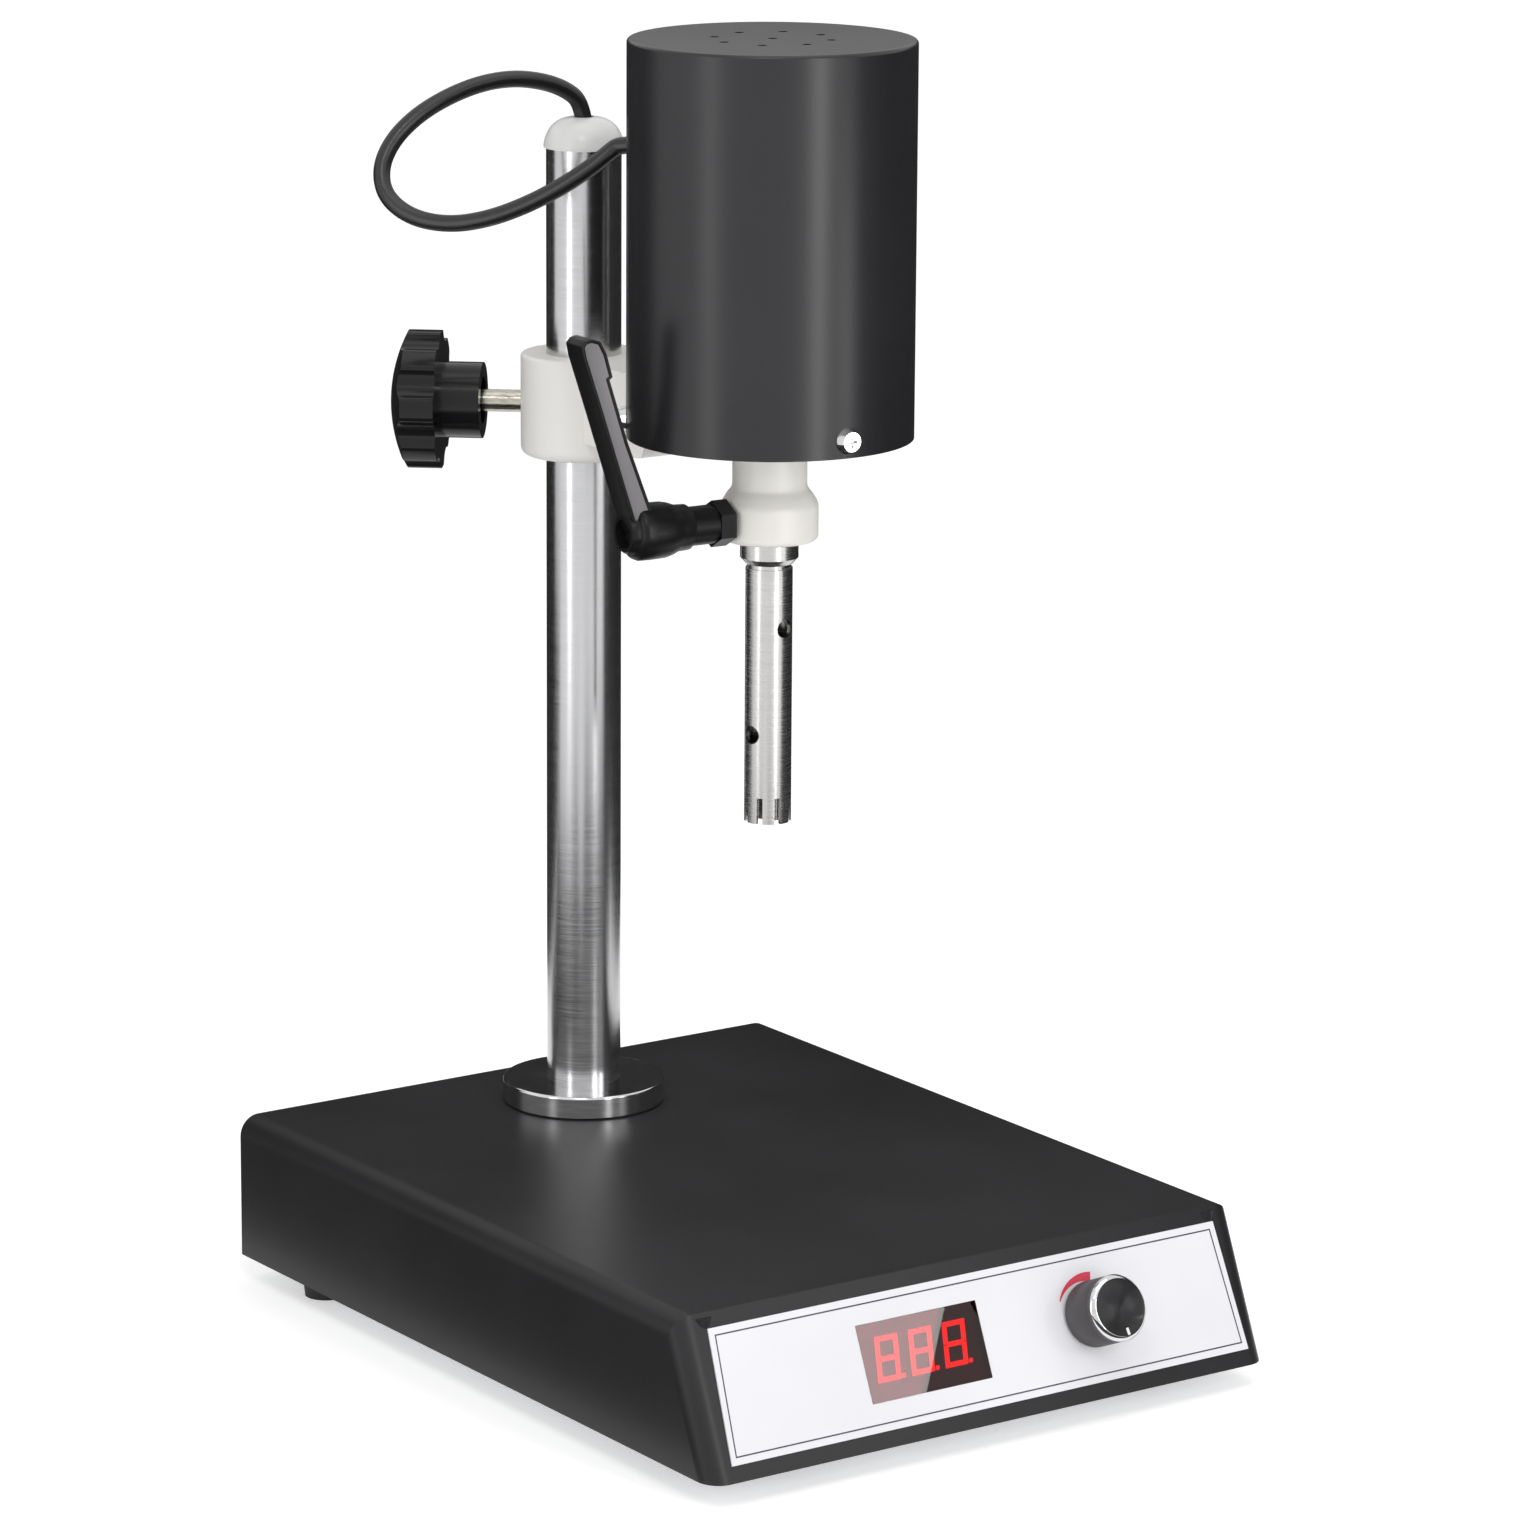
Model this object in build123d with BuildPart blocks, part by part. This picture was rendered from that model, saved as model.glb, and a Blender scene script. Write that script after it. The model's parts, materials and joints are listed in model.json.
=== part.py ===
from build123d import *
from math import cos, hypot, pi, radians, sin, tan
import os

# Digital high-speed overhead stirrer on a column stand, in millimetres.
# Z up, front towards -Y. The origin lies on the bench, under the middle of the whole machine.

# Base cover
base_width = 218.0
base_back = 139.7
base_depth = 281.6
slope_run = 21.1
cover_height = 48.6
cover_bend = 7.0
sheet = 1.5
foot_height = 8.0
foot_radius = 8.0

# Fixed places on the base
column_from_back = 45.2
foot_back_inset = 32.0
foot_back_side = 14.0
foot_front_inset = 30.0
foot_front_side = 35.0

# Front panel, measured from the top crease down the slope
plate_top = 5.2
plate_bottom = 47.7
plate_width_top = 197.6
plate_width_bottom = 202.2
plate_thick = 0.5
plate_shift = 0.8
window_width = 46.3
window_height = 24.7
window_x = -21.8
window_down = 26.3
window_lip = 2.5
dial_x = 43.95
dial_down = 26.1
knob_radius = 10.7
knob_length = 16.2
knob_face_radius = 9.2
knob_gap = 0.6

# Column
column_radius = 12.5
column_wall = 1.5
column_top = 382.5
flange_radius = 27.5
flange_height = 7.8
column_engagement = 11.0
cap_radius = 13.3
cap_height = 10.0
cap_plug_length = 14.0

# Carriage on the column
arm_reach = 108.0
block_bottom = 280.0
block_height = 34.1
block_radius = 21.0
arm_half_width = 11.5
arm_bottom = 287.0
spacer_depth = 9.2
knob_azimuth = 140.0
clamp_height = 297.2
stud_radius = 3.7
star_radius = 23.1
star_lobes = 8
star_hub_radius = 12.7
star_hub_start = 33.7
star_disc_start = 47.5
star_disc_length = 11.1
star_dome_height = 5.6
clamp_travel = 2.5

# Motor housing
can_radius = 46.0
can_wall = 1.5
can_bottom = 302.5
can_top = 429.3
motor_turn = -3.0
end_plate_height = 12.0
vent_radius = 1.5
vent_circle = 37.2
vent_count = 8
can_screw_rise = 4.6
cable_radius = 2.8
cable_entry_azimuth = 118.0
cable_entry_height = 392.3

# Chuck under the motor
neck_radius = 12.0
chuck_radius = 15.7
chuck_bottom = 268.9
shoulder_low = 279.6
shoulder_high = 287.6
lever_height = 276.0
lever_arm_length = 64.0

# Working head
tip_height = 176.5
tube_radius = 7.6
tube_bore = 6.3
shank_length = 28.1
collar_radius = 9.4
collar_height = 5.3
slot_width = 2.0
slot_height = 8.6
slot_count = 8
side_hole_radius = 3.0
rotor_shaft_radius = 3.0
rotor_gap = 0.4

# Motor parts inside the housing
spindle_radius = 4.0
armature_radius = 20.0
air_gap = 0.6
stack_radius = 35.0
stack_height = 40.0
bearing_radius = 11.0
bearing_height = 7.0
commutator_radius = 11.0
fan_radius = 31.0

# Clearances
running = 0.05
seat = 0.1
lift_gap = 0.3

# Heights and places that follow from the sizes above
cover_bottom = foot_height
cover_top = cover_bottom + cover_height
crease_y = base_back - base_depth + slope_run
front_y = base_back - base_depth
column_y = base_back - column_from_back
motor_y = column_y - arm_reach
flange_top = cover_top + flange_height
slope_length = hypot(slope_run, cover_height)
panel_normal = Vector(0, -cover_height / slope_length, slope_run / slope_length)
panel = Plane(origin=(0, crease_y, cover_top), x_dir=(1, 0, 0), z_dir=panel_normal)
column_axis = Plane(origin=(0, column_y, 0))
motor_axis = Plane(origin=(0, motor_y, 0))
block_top = block_bottom + block_height
can_inner = can_radius - can_wall
end_plate_bottom = can_bottom + 1.0
end_plate_top = end_plate_bottom + end_plate_height
can_screw_height = end_plate_bottom + can_screw_rise
arm_length = arm_reach - can_radius - spacer_depth
floor_top = cover_bottom + sheet


def direction(azimuth):
    """A level unit vector at an angle from +X."""
    return Vector(cos(radians(azimuth)), sin(radians(azimuth)), 0)


def radial_plane(centre_y, height, azimuth, distance):
    """A plane that faces outwards at a distance from an upright axis."""
    out = direction(azimuth)
    spot = Vector(0, centre_y, height) + out * distance
    return Plane(origin=spot, x_dir=(0, 0, 1), z_dir=out)


def housing_form(inset, bottom, back):
    """The closed outer form of the base, made smaller by a wall thickness."""
    half = base_width / 2 - inset
    shift = inset * slope_length / cover_height
    rise = inset * slope_run / cover_height
    lower = (cover_bottom - bottom) * slope_run / cover_height
    with BuildPart() as form:
        with BuildSketch(Plane.YZ):
            with BuildLine():
                Polyline(
                    (back, bottom),
                    (front_y + shift - lower, bottom),
                    (crease_y + shift - rise, cover_top - inset),
                    (back, cover_top - inset),
                    close=True,
                )
            make_face()
        extrude(amount=half, both=True)
        corners = form.edges().filter_by(lambda e: abs(e.tangent_at(0.5).Z) > 0.5)
        bends = form.edges().filter_by(Axis.Y).group_by(Axis.Z)[-1]
        fillet(corners.sort_by(Axis.Y)[:2] + bends, cover_bend - inset)
    return form.part


# Base cover: bent and drawn sheet, open below and behind
outer_form = housing_form(0, cover_bottom, base_back)
inner_form = housing_form(sheet, cover_bottom - 1, base_back + 1)
post_inset = 10.5
post_radius = 4.0
post_spots = [
    (-base_width / 2 + post_inset, base_back - post_inset),
    (base_width / 2 - post_inset, base_back - post_inset),
    (-base_width / 2 + post_inset, front_y + 2.2 * post_inset),
    (base_width / 2 - post_inset, front_y + 2.2 * post_inset),
]
cover_screw_radius = 1.5
pot_bush_radius = 3.5
with BuildPart() as base_cover:
    add(outer_form)
    add(inner_form, mode=Mode.SUBTRACT)
    with BuildSketch(Plane.XY.offset(floor_top)):
        with Locations(*post_spots):
            Circle(post_radius)
    extrude(amount=cover_height - 2 * sheet)
    with BuildSketch(Plane.XY.offset(floor_top)):
        with Locations(*post_spots):
            Circle(cover_screw_radius + running)
    extrude(amount=10, mode=Mode.SUBTRACT)
    with BuildSketch(Plane.XY.offset(cover_top - sheet)):
        with Locations((0, column_y)):
            Circle(column_radius + seat)
    extrude(amount=sheet, mode=Mode.SUBTRACT)
    with BuildSketch(panel):
        with Locations((window_x, -window_down)):
            Rectangle(window_width + 2 * seat, window_height + 2 * seat)
        with Locations((dial_x, -dial_down)):
            Circle(pot_bush_radius + seat)
    extrude(amount=-sheet - 1, mode=Mode.SUBTRACT)
base_cover.part.label = "base_cover"
export_list = [base_cover]

# Bottom plate with the four pressed studs that carry the control board
board_width = 92.0
board_depth = 66.0
board_x = 38.0
board_y = -55.0
stud_height = 6.0
board_stud_radius = 2.5
foot_spots = [
    (-base_width / 2 + foot_back_side, base_back - foot_back_inset),
    (base_width / 2 - foot_back_side, base_back - foot_back_inset),
    (-base_width / 2 + foot_front_side, front_y + foot_front_inset),
    (base_width / 2 - foot_front_side, front_y + foot_front_inset),
]
foot_screw_radius = 2.0
plate_front_y = front_y + sheet * slope_length / cover_height + 1.0
plate_back_y = base_back - seat
with BuildPart() as bottom_plate:
    with BuildSketch(Plane.XY.offset(cover_bottom)) as floor_outline:
        with Locations((0, (plate_front_y + plate_back_y) / 2)):
            Rectangle(base_width - 2 * sheet - 2 * seat, plate_back_y - plate_front_y)
        front_corners = floor_outline.vertices().group_by(Axis.Y)[0]
        fillet(front_corners, cover_bend - sheet)
    extrude(amount=sheet)
    with BuildSketch(Plane.XY.offset(floor_top)):
        with Locations((board_x, board_y)):
            with GridLocations(board_width - 8, board_depth - 8, 2, 2):
                Circle(board_stud_radius)
    extrude(amount=stud_height)
    with BuildSketch(Plane.XY.offset(cover_bottom)):
        with Locations(*post_spots):
            Circle(cover_screw_radius + running)
        with Locations(*foot_spots):
            Circle(foot_screw_radius + running)
    extrude(amount=sheet, mode=Mode.SUBTRACT)
bottom_plate.part.label = "bottom_plate"
export_list.append(bottom_plate)

# Screws that hold the cover to the bottom plate, driven from below
with BuildPart() as cover_screws:
    with BuildSketch(Plane.XY.offset(cover_bottom - 1.8)):
        with Locations(*post_spots):
            Circle(3.0)
    extrude(amount=1.8)
    with BuildSketch(Plane.XY.offset(cover_bottom)):
        with Locations(*post_spots):
            Circle(cover_screw_radius)
    extrude(amount=9.0)
    heads = cover_screws.edges().filter_by(GeomType.CIRCLE).group_by(Axis.Z)[0]
    fillet(heads, 0.8)
cover_screws.part.label = "cover_screws"
export_list.append(cover_screws)

# Rubber feet with a recess for their screws
foot_recess = 3.0
with BuildPart() as rubber_feet:
    with BuildSketch():
        with Locations(*foot_spots):
            Circle(foot_radius - 0.8)
    with BuildSketch(Plane.XY.offset(foot_height)):
        with Locations(*foot_spots):
            Circle(foot_radius)
    loft_pairs = list(zip(rubber_feet.pending_faces[:4], rubber_feet.pending_faces[4:]))
    rubber_feet.pending_faces.clear()
    for low, high in loft_pairs:
        loft([low, high])
    for spot in foot_spots:
        with Locations((*spot, 0)):
            Cylinder(4.2, foot_recess, align=(Align.CENTER, Align.CENTER, Align.MIN), mode=Mode.SUBTRACT)
            Cylinder(
                foot_screw_radius + running,
                foot_height,
                align=(Align.CENTER, Align.CENTER, Align.MIN),
                mode=Mode.SUBTRACT,
            )
rubber_feet.part.label = "rubber_feet"
export_list.append(rubber_feet)

with BuildPart() as feet_screws:
    with BuildSketch(Plane.XY.offset(foot_recess - 2.0)):
        with Locations(*foot_spots):
            Circle(3.6)
    extrude(amount=2.0)
    with BuildSketch(Plane.XY.offset(foot_recess)):
        with Locations(*foot_spots):
            Circle(foot_screw_radius)
    extrude(amount=foot_height - foot_recess + sheet + 3)
feet_screws.part.label = "feet_screws"
export_list.append(feet_screws)

# Back panel, set just inside the open back of the cover
panel_inset = 1.0
inlet_from_side = 47.0
inlet_x = base_width / 2 - inlet_from_side
inlet_z = 36.5
inlet_width = 27.5
inlet_height = 19.0
fuse_z = 18.2
fuse_width = 22.0
fuse_height = 7.0
with BuildPart() as back_panel:
    with BuildSketch(Plane.XZ.offset(-(base_back - panel_inset))) as back_outline:
        panel_low = floor_top + seat
        panel_high = cover_top - sheet - seat
        with Locations((0, (panel_low + panel_high) / 2)):
            Rectangle(base_width - 2 * sheet - 2 * seat, panel_high - panel_low)
        fillet(back_outline.vertices().group_by(Axis.Z)[-1], cover_bend - sheet)
        with Locations((inlet_x, inlet_z)):
            Rectangle(inlet_width + 2 * seat, inlet_height + 2 * seat, mode=Mode.SUBTRACT)
        with Locations((inlet_x, fuse_z)):
            Rectangle(fuse_width + 2 * seat, fuse_height + 2 * seat, mode=Mode.SUBTRACT)
    extrude(amount=sheet)
back_panel.part.label = "back_panel"
export_list.append(back_panel)

# Mains inlet with three blades in its socket, and the fuse drawer below it
inlet_flange = 2.5
socket_width = 24.4
socket_height = 16.2
socket_depth = 15.0
inlet_face = Plane(origin=(0, base_back - panel_inset, 0), x_dir=(1, 0, 0), z_dir=(0, 1, 0))
with BuildPart() as power_inlet:
    with BuildSketch(inlet_face) as inlet_outline:
        with Locations((inlet_x, -(inlet_z + fuse_z) / 2 - 1.0)):
            RectangleRounded(32.0, 36.0, 2.0)
        with Locations((inlet_x, -fuse_z)):
            Rectangle(fuse_width + 2 * seat, fuse_height + 2 * seat, mode=Mode.SUBTRACT)
    extrude(amount=inlet_flange)
    with BuildSketch(inlet_face):
        with Locations((inlet_x, -inlet_z)):
            Rectangle(inlet_width, inlet_height)
    extrude(amount=-20.0)
    with BuildSketch(inlet_face.offset(inlet_flange)):
        with Locations((inlet_x, -inlet_z)):
            RectangleRounded(socket_width, socket_height, 2.5)
    extrude(amount=-socket_depth, mode=Mode.SUBTRACT)
    with BuildSketch(inlet_face.offset(inlet_flange - socket_depth)):
        with Locations((inlet_x - 7, -inlet_z - 2), (inlet_x + 7, -inlet_z - 2), (inlet_x, -inlet_z - 6)):
            Rectangle(2.0, 4.0)
    extrude(amount=socket_depth - 3.0)
power_inlet.part.label = "power_inlet"
export_list.append(power_inlet)

with BuildPart() as fuse_drawer:
    with BuildSketch(inlet_face.offset(inlet_flange + 1.2)):
        with Locations((inlet_x, -fuse_z)):
            Rectangle(fuse_width, fuse_height)
    extrude(amount=-19.0)
    with BuildSketch(inlet_face.offset(inlet_flange + 1.2)):
        with Locations((inlet_x, -fuse_z + fuse_height / 2 - 1.5)):
            Rectangle(8.0, 1.6)
    extrude(amount=-1.6, mode=Mode.SUBTRACT)
fuse_drawer.part.label = "fuse_drawer"
export_list.append(fuse_drawer)

# Front label plate, a thin trapezium on the sloping panel
with BuildPart() as front_plate:
    with BuildSketch(panel):
        with BuildLine():
            Polyline(
                (plate_shift - plate_width_top / 2, -plate_top),
                (plate_shift + plate_width_top / 2, -plate_top),
                (plate_shift + plate_width_bottom / 2, -plate_bottom),
                (plate_shift - plate_width_bottom / 2, -plate_bottom),
                close=True,
            )
        make_face()
        with Locations((window_x, -window_down)):
            Rectangle(window_width + 2 * seat, window_height + 2 * seat, mode=Mode.SUBTRACT)
        with Locations((dial_x, -dial_down)):
            Circle(pot_bush_radius + seat, mode=Mode.SUBTRACT)
    extrude(amount=plate_thick)
front_plate.part.label = "front_plate"
export_list.append(front_plate)

# Red window, let into the plate and held by a lip behind the cover
window_lip_thick = 1.0
with BuildPart() as display_window:
    with BuildSketch(panel.offset(plate_thick)):
        with Locations((window_x, -window_down)):
            Rectangle(window_width, window_height)
    extrude(amount=-plate_thick - sheet)
    with BuildSketch(panel.offset(-sheet)):
        with Locations((window_x, -window_down)):
            Rectangle(window_width + 2 * window_lip, window_height + 2 * window_lip)
    extrude(amount=-window_lip_thick)
display_window.part.label = "display_window"
export_list.append(display_window)

# Three-digit display block and its board
module_width = 37.6
module_height = 19.0
module_depth = 8.0
module_face = sheet + window_lip_thick
with BuildPart() as display_module:
    with BuildSketch(panel.offset(-module_face)):
        with Locations((window_x + 1.0, -window_down)):
            Rectangle(module_width, module_height)
    extrude(amount=-module_depth)
display_module.part.label = "display_module"
export_list.append(display_module)

with BuildPart() as display_board:
    with BuildSketch(panel.offset(-module_face - module_depth)):
        with Locations((window_x + 1.0, -window_down)):
            Rectangle(window_width + 8.0, window_height + 3.0)
    extrude(amount=-1.6)
display_board.part.label = "display_board"
export_list.append(display_board)

# Speed control behind the panel: body, threaded bush, nut, and the shaft that the knob turns
pot_shaft_radius = 3.0
pot_body_radius = 8.5
pot_body_depth = 9.0
pot_bush_length = 6.0
pot_nut_height = 2.0
dial = Plane(origin=panel.from_local_coords(Vector(dial_x, -dial_down, 0)), x_dir=(1, 0, 0), z_dir=panel_normal)
with BuildPart() as potentiometer:
    with BuildSketch(dial.offset(-sheet)):
        Circle(pot_body_radius)
    extrude(amount=-pot_body_depth)
    with BuildSketch(dial.offset(-sheet)):
        Circle(pot_bush_radius)
    extrude(amount=pot_bush_length)
    with BuildSketch(dial.offset(pot_bush_length - sheet)):
        Circle(pot_shaft_radius + running)
    extrude(amount=-pot_bush_length, mode=Mode.SUBTRACT)
potentiometer.part.label = "potentiometer"
export_list.append(potentiometer)

with BuildPart() as pot_nut:
    with BuildSketch(dial.offset(plate_thick)):
        RegularPolygon(5.5, 6)
        Circle(pot_bush_radius + running, mode=Mode.SUBTRACT)
    extrude(amount=pot_nut_height)
pot_nut.part.label = "pot_nut"
export_list.append(pot_nut)

knob_start = plate_thick + knob_gap
knob_end = plate_thick + knob_length
shaft_end = knob_end - 3.0
with BuildPart() as pot_shaft:
    with BuildSketch(dial.offset(-sheet + lift_gap)):
        Circle(pot_shaft_radius)
    extrude(amount=shaft_end + sheet - lift_gap)
pot_shaft.part.label = "pot_shaft"
export_list.append(pot_shaft)

# Turned speed knob: fluted side, bright bevel, dished face and a pointer groove
knob_flutes = 36
knob_bevel = knob_radius - knob_face_radius
knob_hollow_radius = 7.0
knob_hollow_depth = 4.2
with BuildPart() as speed_knob:
    with BuildSketch(dial.offset(knob_start)):
        Circle(knob_radius)
    extrude(amount=knob_end - knob_start)
    with BuildSketch(dial.offset(knob_start)):
        with PolarLocations(knob_radius, knob_flutes):
            Circle(0.28)
    extrude(amount=knob_end - knob_start - knob_bevel - 1.0, mode=Mode.SUBTRACT)
    rim = speed_knob.edges().filter_by(GeomType.CIRCLE).filter_by(
        lambda e: abs(e.radius - knob_radius) < 0.01 and abs(dial.to_local_coords(e.center()).Z - knob_end) < 0.01
    )
    chamfer(rim, knob_bevel * 0.7, knob_bevel)
    with BuildSketch(dial.offset(knob_start)):
        Circle(knob_hollow_radius)
    extrude(amount=knob_hollow_depth, mode=Mode.SUBTRACT)
    with BuildSketch(dial.offset(knob_start)):
        Circle(pot_shaft_radius)
    extrude(amount=shaft_end - knob_start, mode=Mode.SUBTRACT)
    with BuildSketch(dial.offset(knob_end)):
        with PolarLocations(knob_face_radius - 1.6, 1, start_angle=-82.5):
            Rectangle(3.2, 1.0)
    extrude(amount=-0.4, mode=Mode.SUBTRACT)
speed_knob.part.label = "speed_knob"
export_list.append(speed_knob)

# Column: ground steel tube in a chromed flange, drawn down by a nut inside the base
support_thick = 3.0
nut_height = 6.0
with BuildPart() as column_flange:
    with BuildSketch(Plane.XY.offset(cover_top)):
        with Locations((0, column_y)):
            Circle(flange_radius)
    extrude(amount=flange_height)
    flange_edges = column_flange.edges().filter_by(GeomType.CIRCLE).sort_by(Axis.Z)
    fillet(flange_edges[-1], 0.8)
    chamfer(flange_edges[0], 0.6)
    with BuildSketch(Plane.XY.offset(cover_top)):
        with Locations((0, column_y)):
            Circle(column_radius + running)
    extrude(amount=flange_height, mode=Mode.SUBTRACT)
column_flange.part.label = "column_flange"
export_list.append(column_flange)

support_width = 110.0
support_depth = 64.0
support_corner = 5.0
support_top = cover_top - sheet
support_bottom = support_top - support_thick
nut_bottom = support_bottom - nut_height
column_bottom = nut_bottom - 2.0
with BuildPart() as column_support:
    with BuildSketch(Plane.XY.offset(support_bottom)):
        with Locations((0, column_y)):
            RectangleRounded(support_width, support_depth, support_corner)
            Circle(column_radius + seat, mode=Mode.SUBTRACT)
    extrude(amount=support_thick)
column_support.part.label = "column_support"
export_list.append(column_support)

with BuildPart() as column_nut:
    with BuildSketch(Plane.XY.offset(nut_bottom)):
        with Locations((0, column_y)):
            RegularPolygon(20.0, 6)
            Circle(column_radius + running, mode=Mode.SUBTRACT)
    extrude(amount=nut_height)
column_nut.part.label = "column_nut"
export_list.append(column_nut)

with BuildPart() as column_tube:
    with BuildSketch(Plane.XY.offset(column_bottom)):
        with Locations((0, column_y)):
            Circle(column_radius)
            Circle(column_radius - column_wall, mode=Mode.SUBTRACT)
    extrude(amount=column_top - column_bottom)
column_tube.part.label = "column_tube"
export_list.append(column_tube)

# Plastic cap on the column: a shallow dome with a plug in the tube and a hole for the cable
cap_bottom = column_top + seat
cap_top = cap_bottom + cap_height
plug_radius = column_radius - column_wall - 0.08
cable_hole = cable_radius + 0.5
with BuildPart() as column_cap:
    with BuildSketch(Plane.XZ):
        with BuildLine():
            Line((cable_hole, cap_bottom - cap_plug_length), (plug_radius, cap_bottom - cap_plug_length))
            Line((plug_radius, cap_bottom - cap_plug_length), (plug_radius, cap_bottom))
            Line((plug_radius, cap_bottom), (cap_radius, cap_bottom))
            Line((cap_radius, cap_bottom), (cap_radius, cap_bottom + 0.8))
            Spline(
                (cap_radius, cap_bottom + 0.8),
                (0.72 * cap_radius, cap_bottom + 0.8 * cap_height),
                (0.30 * cap_radius, cap_top),
            )
            Line((0.30 * cap_radius, cap_top), (cable_hole, cap_top))
            Line((cable_hole, cap_top), (cable_hole, cap_bottom - cap_plug_length))
        make_face()
    revolve(axis=Axis.Z)
column_cap.part.position = (0, column_y, 0)
column_cap.part.label = "column_cap"
export_list.append(column_cap)

# Clamp block: a collar round the column with an arm towards the motor
knob_out = direction(knob_azimuth)
with BuildPart() as clamp_block:
    with BuildSketch(Plane.XY.offset(block_bottom)):
        with Locations((0, column_y)):
            Circle(block_radius)
    extrude(amount=block_height)
    collar_edges = clamp_block.edges().filter_by(GeomType.CIRCLE).sort_by(Axis.Z)
    fillet(collar_edges[0], 3.0)
    fillet(clamp_block.edges().filter_by(GeomType.CIRCLE).sort_by(Axis.Z)[-1], 1.2)
    with BuildSketch(Plane.YZ.offset(-arm_half_width)) as arm_side:
        with Locations((column_y - arm_length / 2, (arm_bottom + block_top) / 2)):
            Rectangle(arm_length, block_top - arm_bottom)
        fillet(arm_side.vertices().sort_by(Axis.Y)[:2].sort_by(Axis.Z)[0], 4.0)
    extrude(amount=2 * arm_half_width)
    with BuildSketch(Plane.XY.offset(block_bottom)):
        with Locations((0, column_y)):
            Circle(column_radius + running)
    extrude(amount=block_height, mode=Mode.SUBTRACT)
    with BuildSketch(radial_plane(column_y, clamp_height, knob_azimuth, 0)):
        Circle(stud_radius + running)
    extrude(amount=block_radius + 1, mode=Mode.SUBTRACT)
    arm_stud_radius = 3.0
    arm_stud_x = 6.0
    arm_stud_height = can_bottom + 6.8
    with BuildSketch(Plane.XZ.offset(-column_y + arm_length)):
        with Locations((arm_stud_x, arm_stud_height), (-arm_stud_x, arm_stud_height)):
            Circle(arm_stud_radius + running)
    extrude(amount=-18.0, mode=Mode.SUBTRACT)
clamp_block.part.label = "clamp_block"
export_list.append(clamp_block)

# Shaped spacer between the flat end of the arm and the round motor housing
arm_end_y = column_y - arm_length
with BuildPart() as saddle_spacer:
    with BuildSketch(Plane.XY.offset(can_bottom + 0.5)):
        with Locations((0, (arm_end_y + motor_y + can_radius) / 2 - 1.5)):
            Rectangle(2 * arm_half_width - 2, arm_end_y - motor_y - can_radius + 3.0)
        with Locations((0, motor_y)):
            Circle(can_radius, mode=Mode.SUBTRACT)
    extrude(amount=block_top - can_bottom - 1.5)
    with BuildSketch(Plane.XZ.offset(-arm_end_y)):
        with Locations((arm_stud_x, arm_stud_height), (-arm_stud_x, arm_stud_height)):
            Circle(arm_stud_radius + running)
    extrude(amount=12.0, mode=Mode.SUBTRACT)
saddle_spacer.part.label = "saddle_spacer"
export_list.append(saddle_spacer)

stud_in_plate = 12.0
with BuildPart() as arm_studs:
    with BuildSketch(Plane.XZ.offset(-arm_end_y - 16.0)):
        with Locations((arm_stud_x, arm_stud_height), (-arm_stud_x, arm_stud_height)):
            Circle(arm_stud_radius)
    extrude(amount=16.0 + arm_end_y - motor_y - can_radius + stud_in_plate)
arm_studs.part.label = "arm_studs"
export_list.append(arm_studs)

# Brass pad that the star knob presses on the column
pad_face = column_radius + lift_gap / 2
pad_length = 2.4
with BuildPart() as clamp_pad:
    with BuildSketch(radial_plane(column_y, clamp_height, knob_azimuth, pad_face)):
        Circle(stud_radius)
    extrude(amount=pad_length)
clamp_pad.part.label = "clamp_pad"
export_list.append(clamp_pad)

# Threaded stud and the star knob moulded on it
stud_start = pad_face + pad_length + running
star_disc_end = star_disc_start + star_disc_length
stud_end = star_disc_start + 4.0
knob_axis = Plane(
    origin=Vector(0, column_y, clamp_height),
    x_dir=(0, 0, 1),
    z_dir=knob_out,
)
with BuildPart() as clamp_stud:
    with BuildSketch(knob_axis.offset(stud_start)):
        Circle(stud_radius)
    extrude(amount=stud_end - stud_start)
clamp_stud.part.label = "clamp_stud"
export_list.append(clamp_stud)

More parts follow.
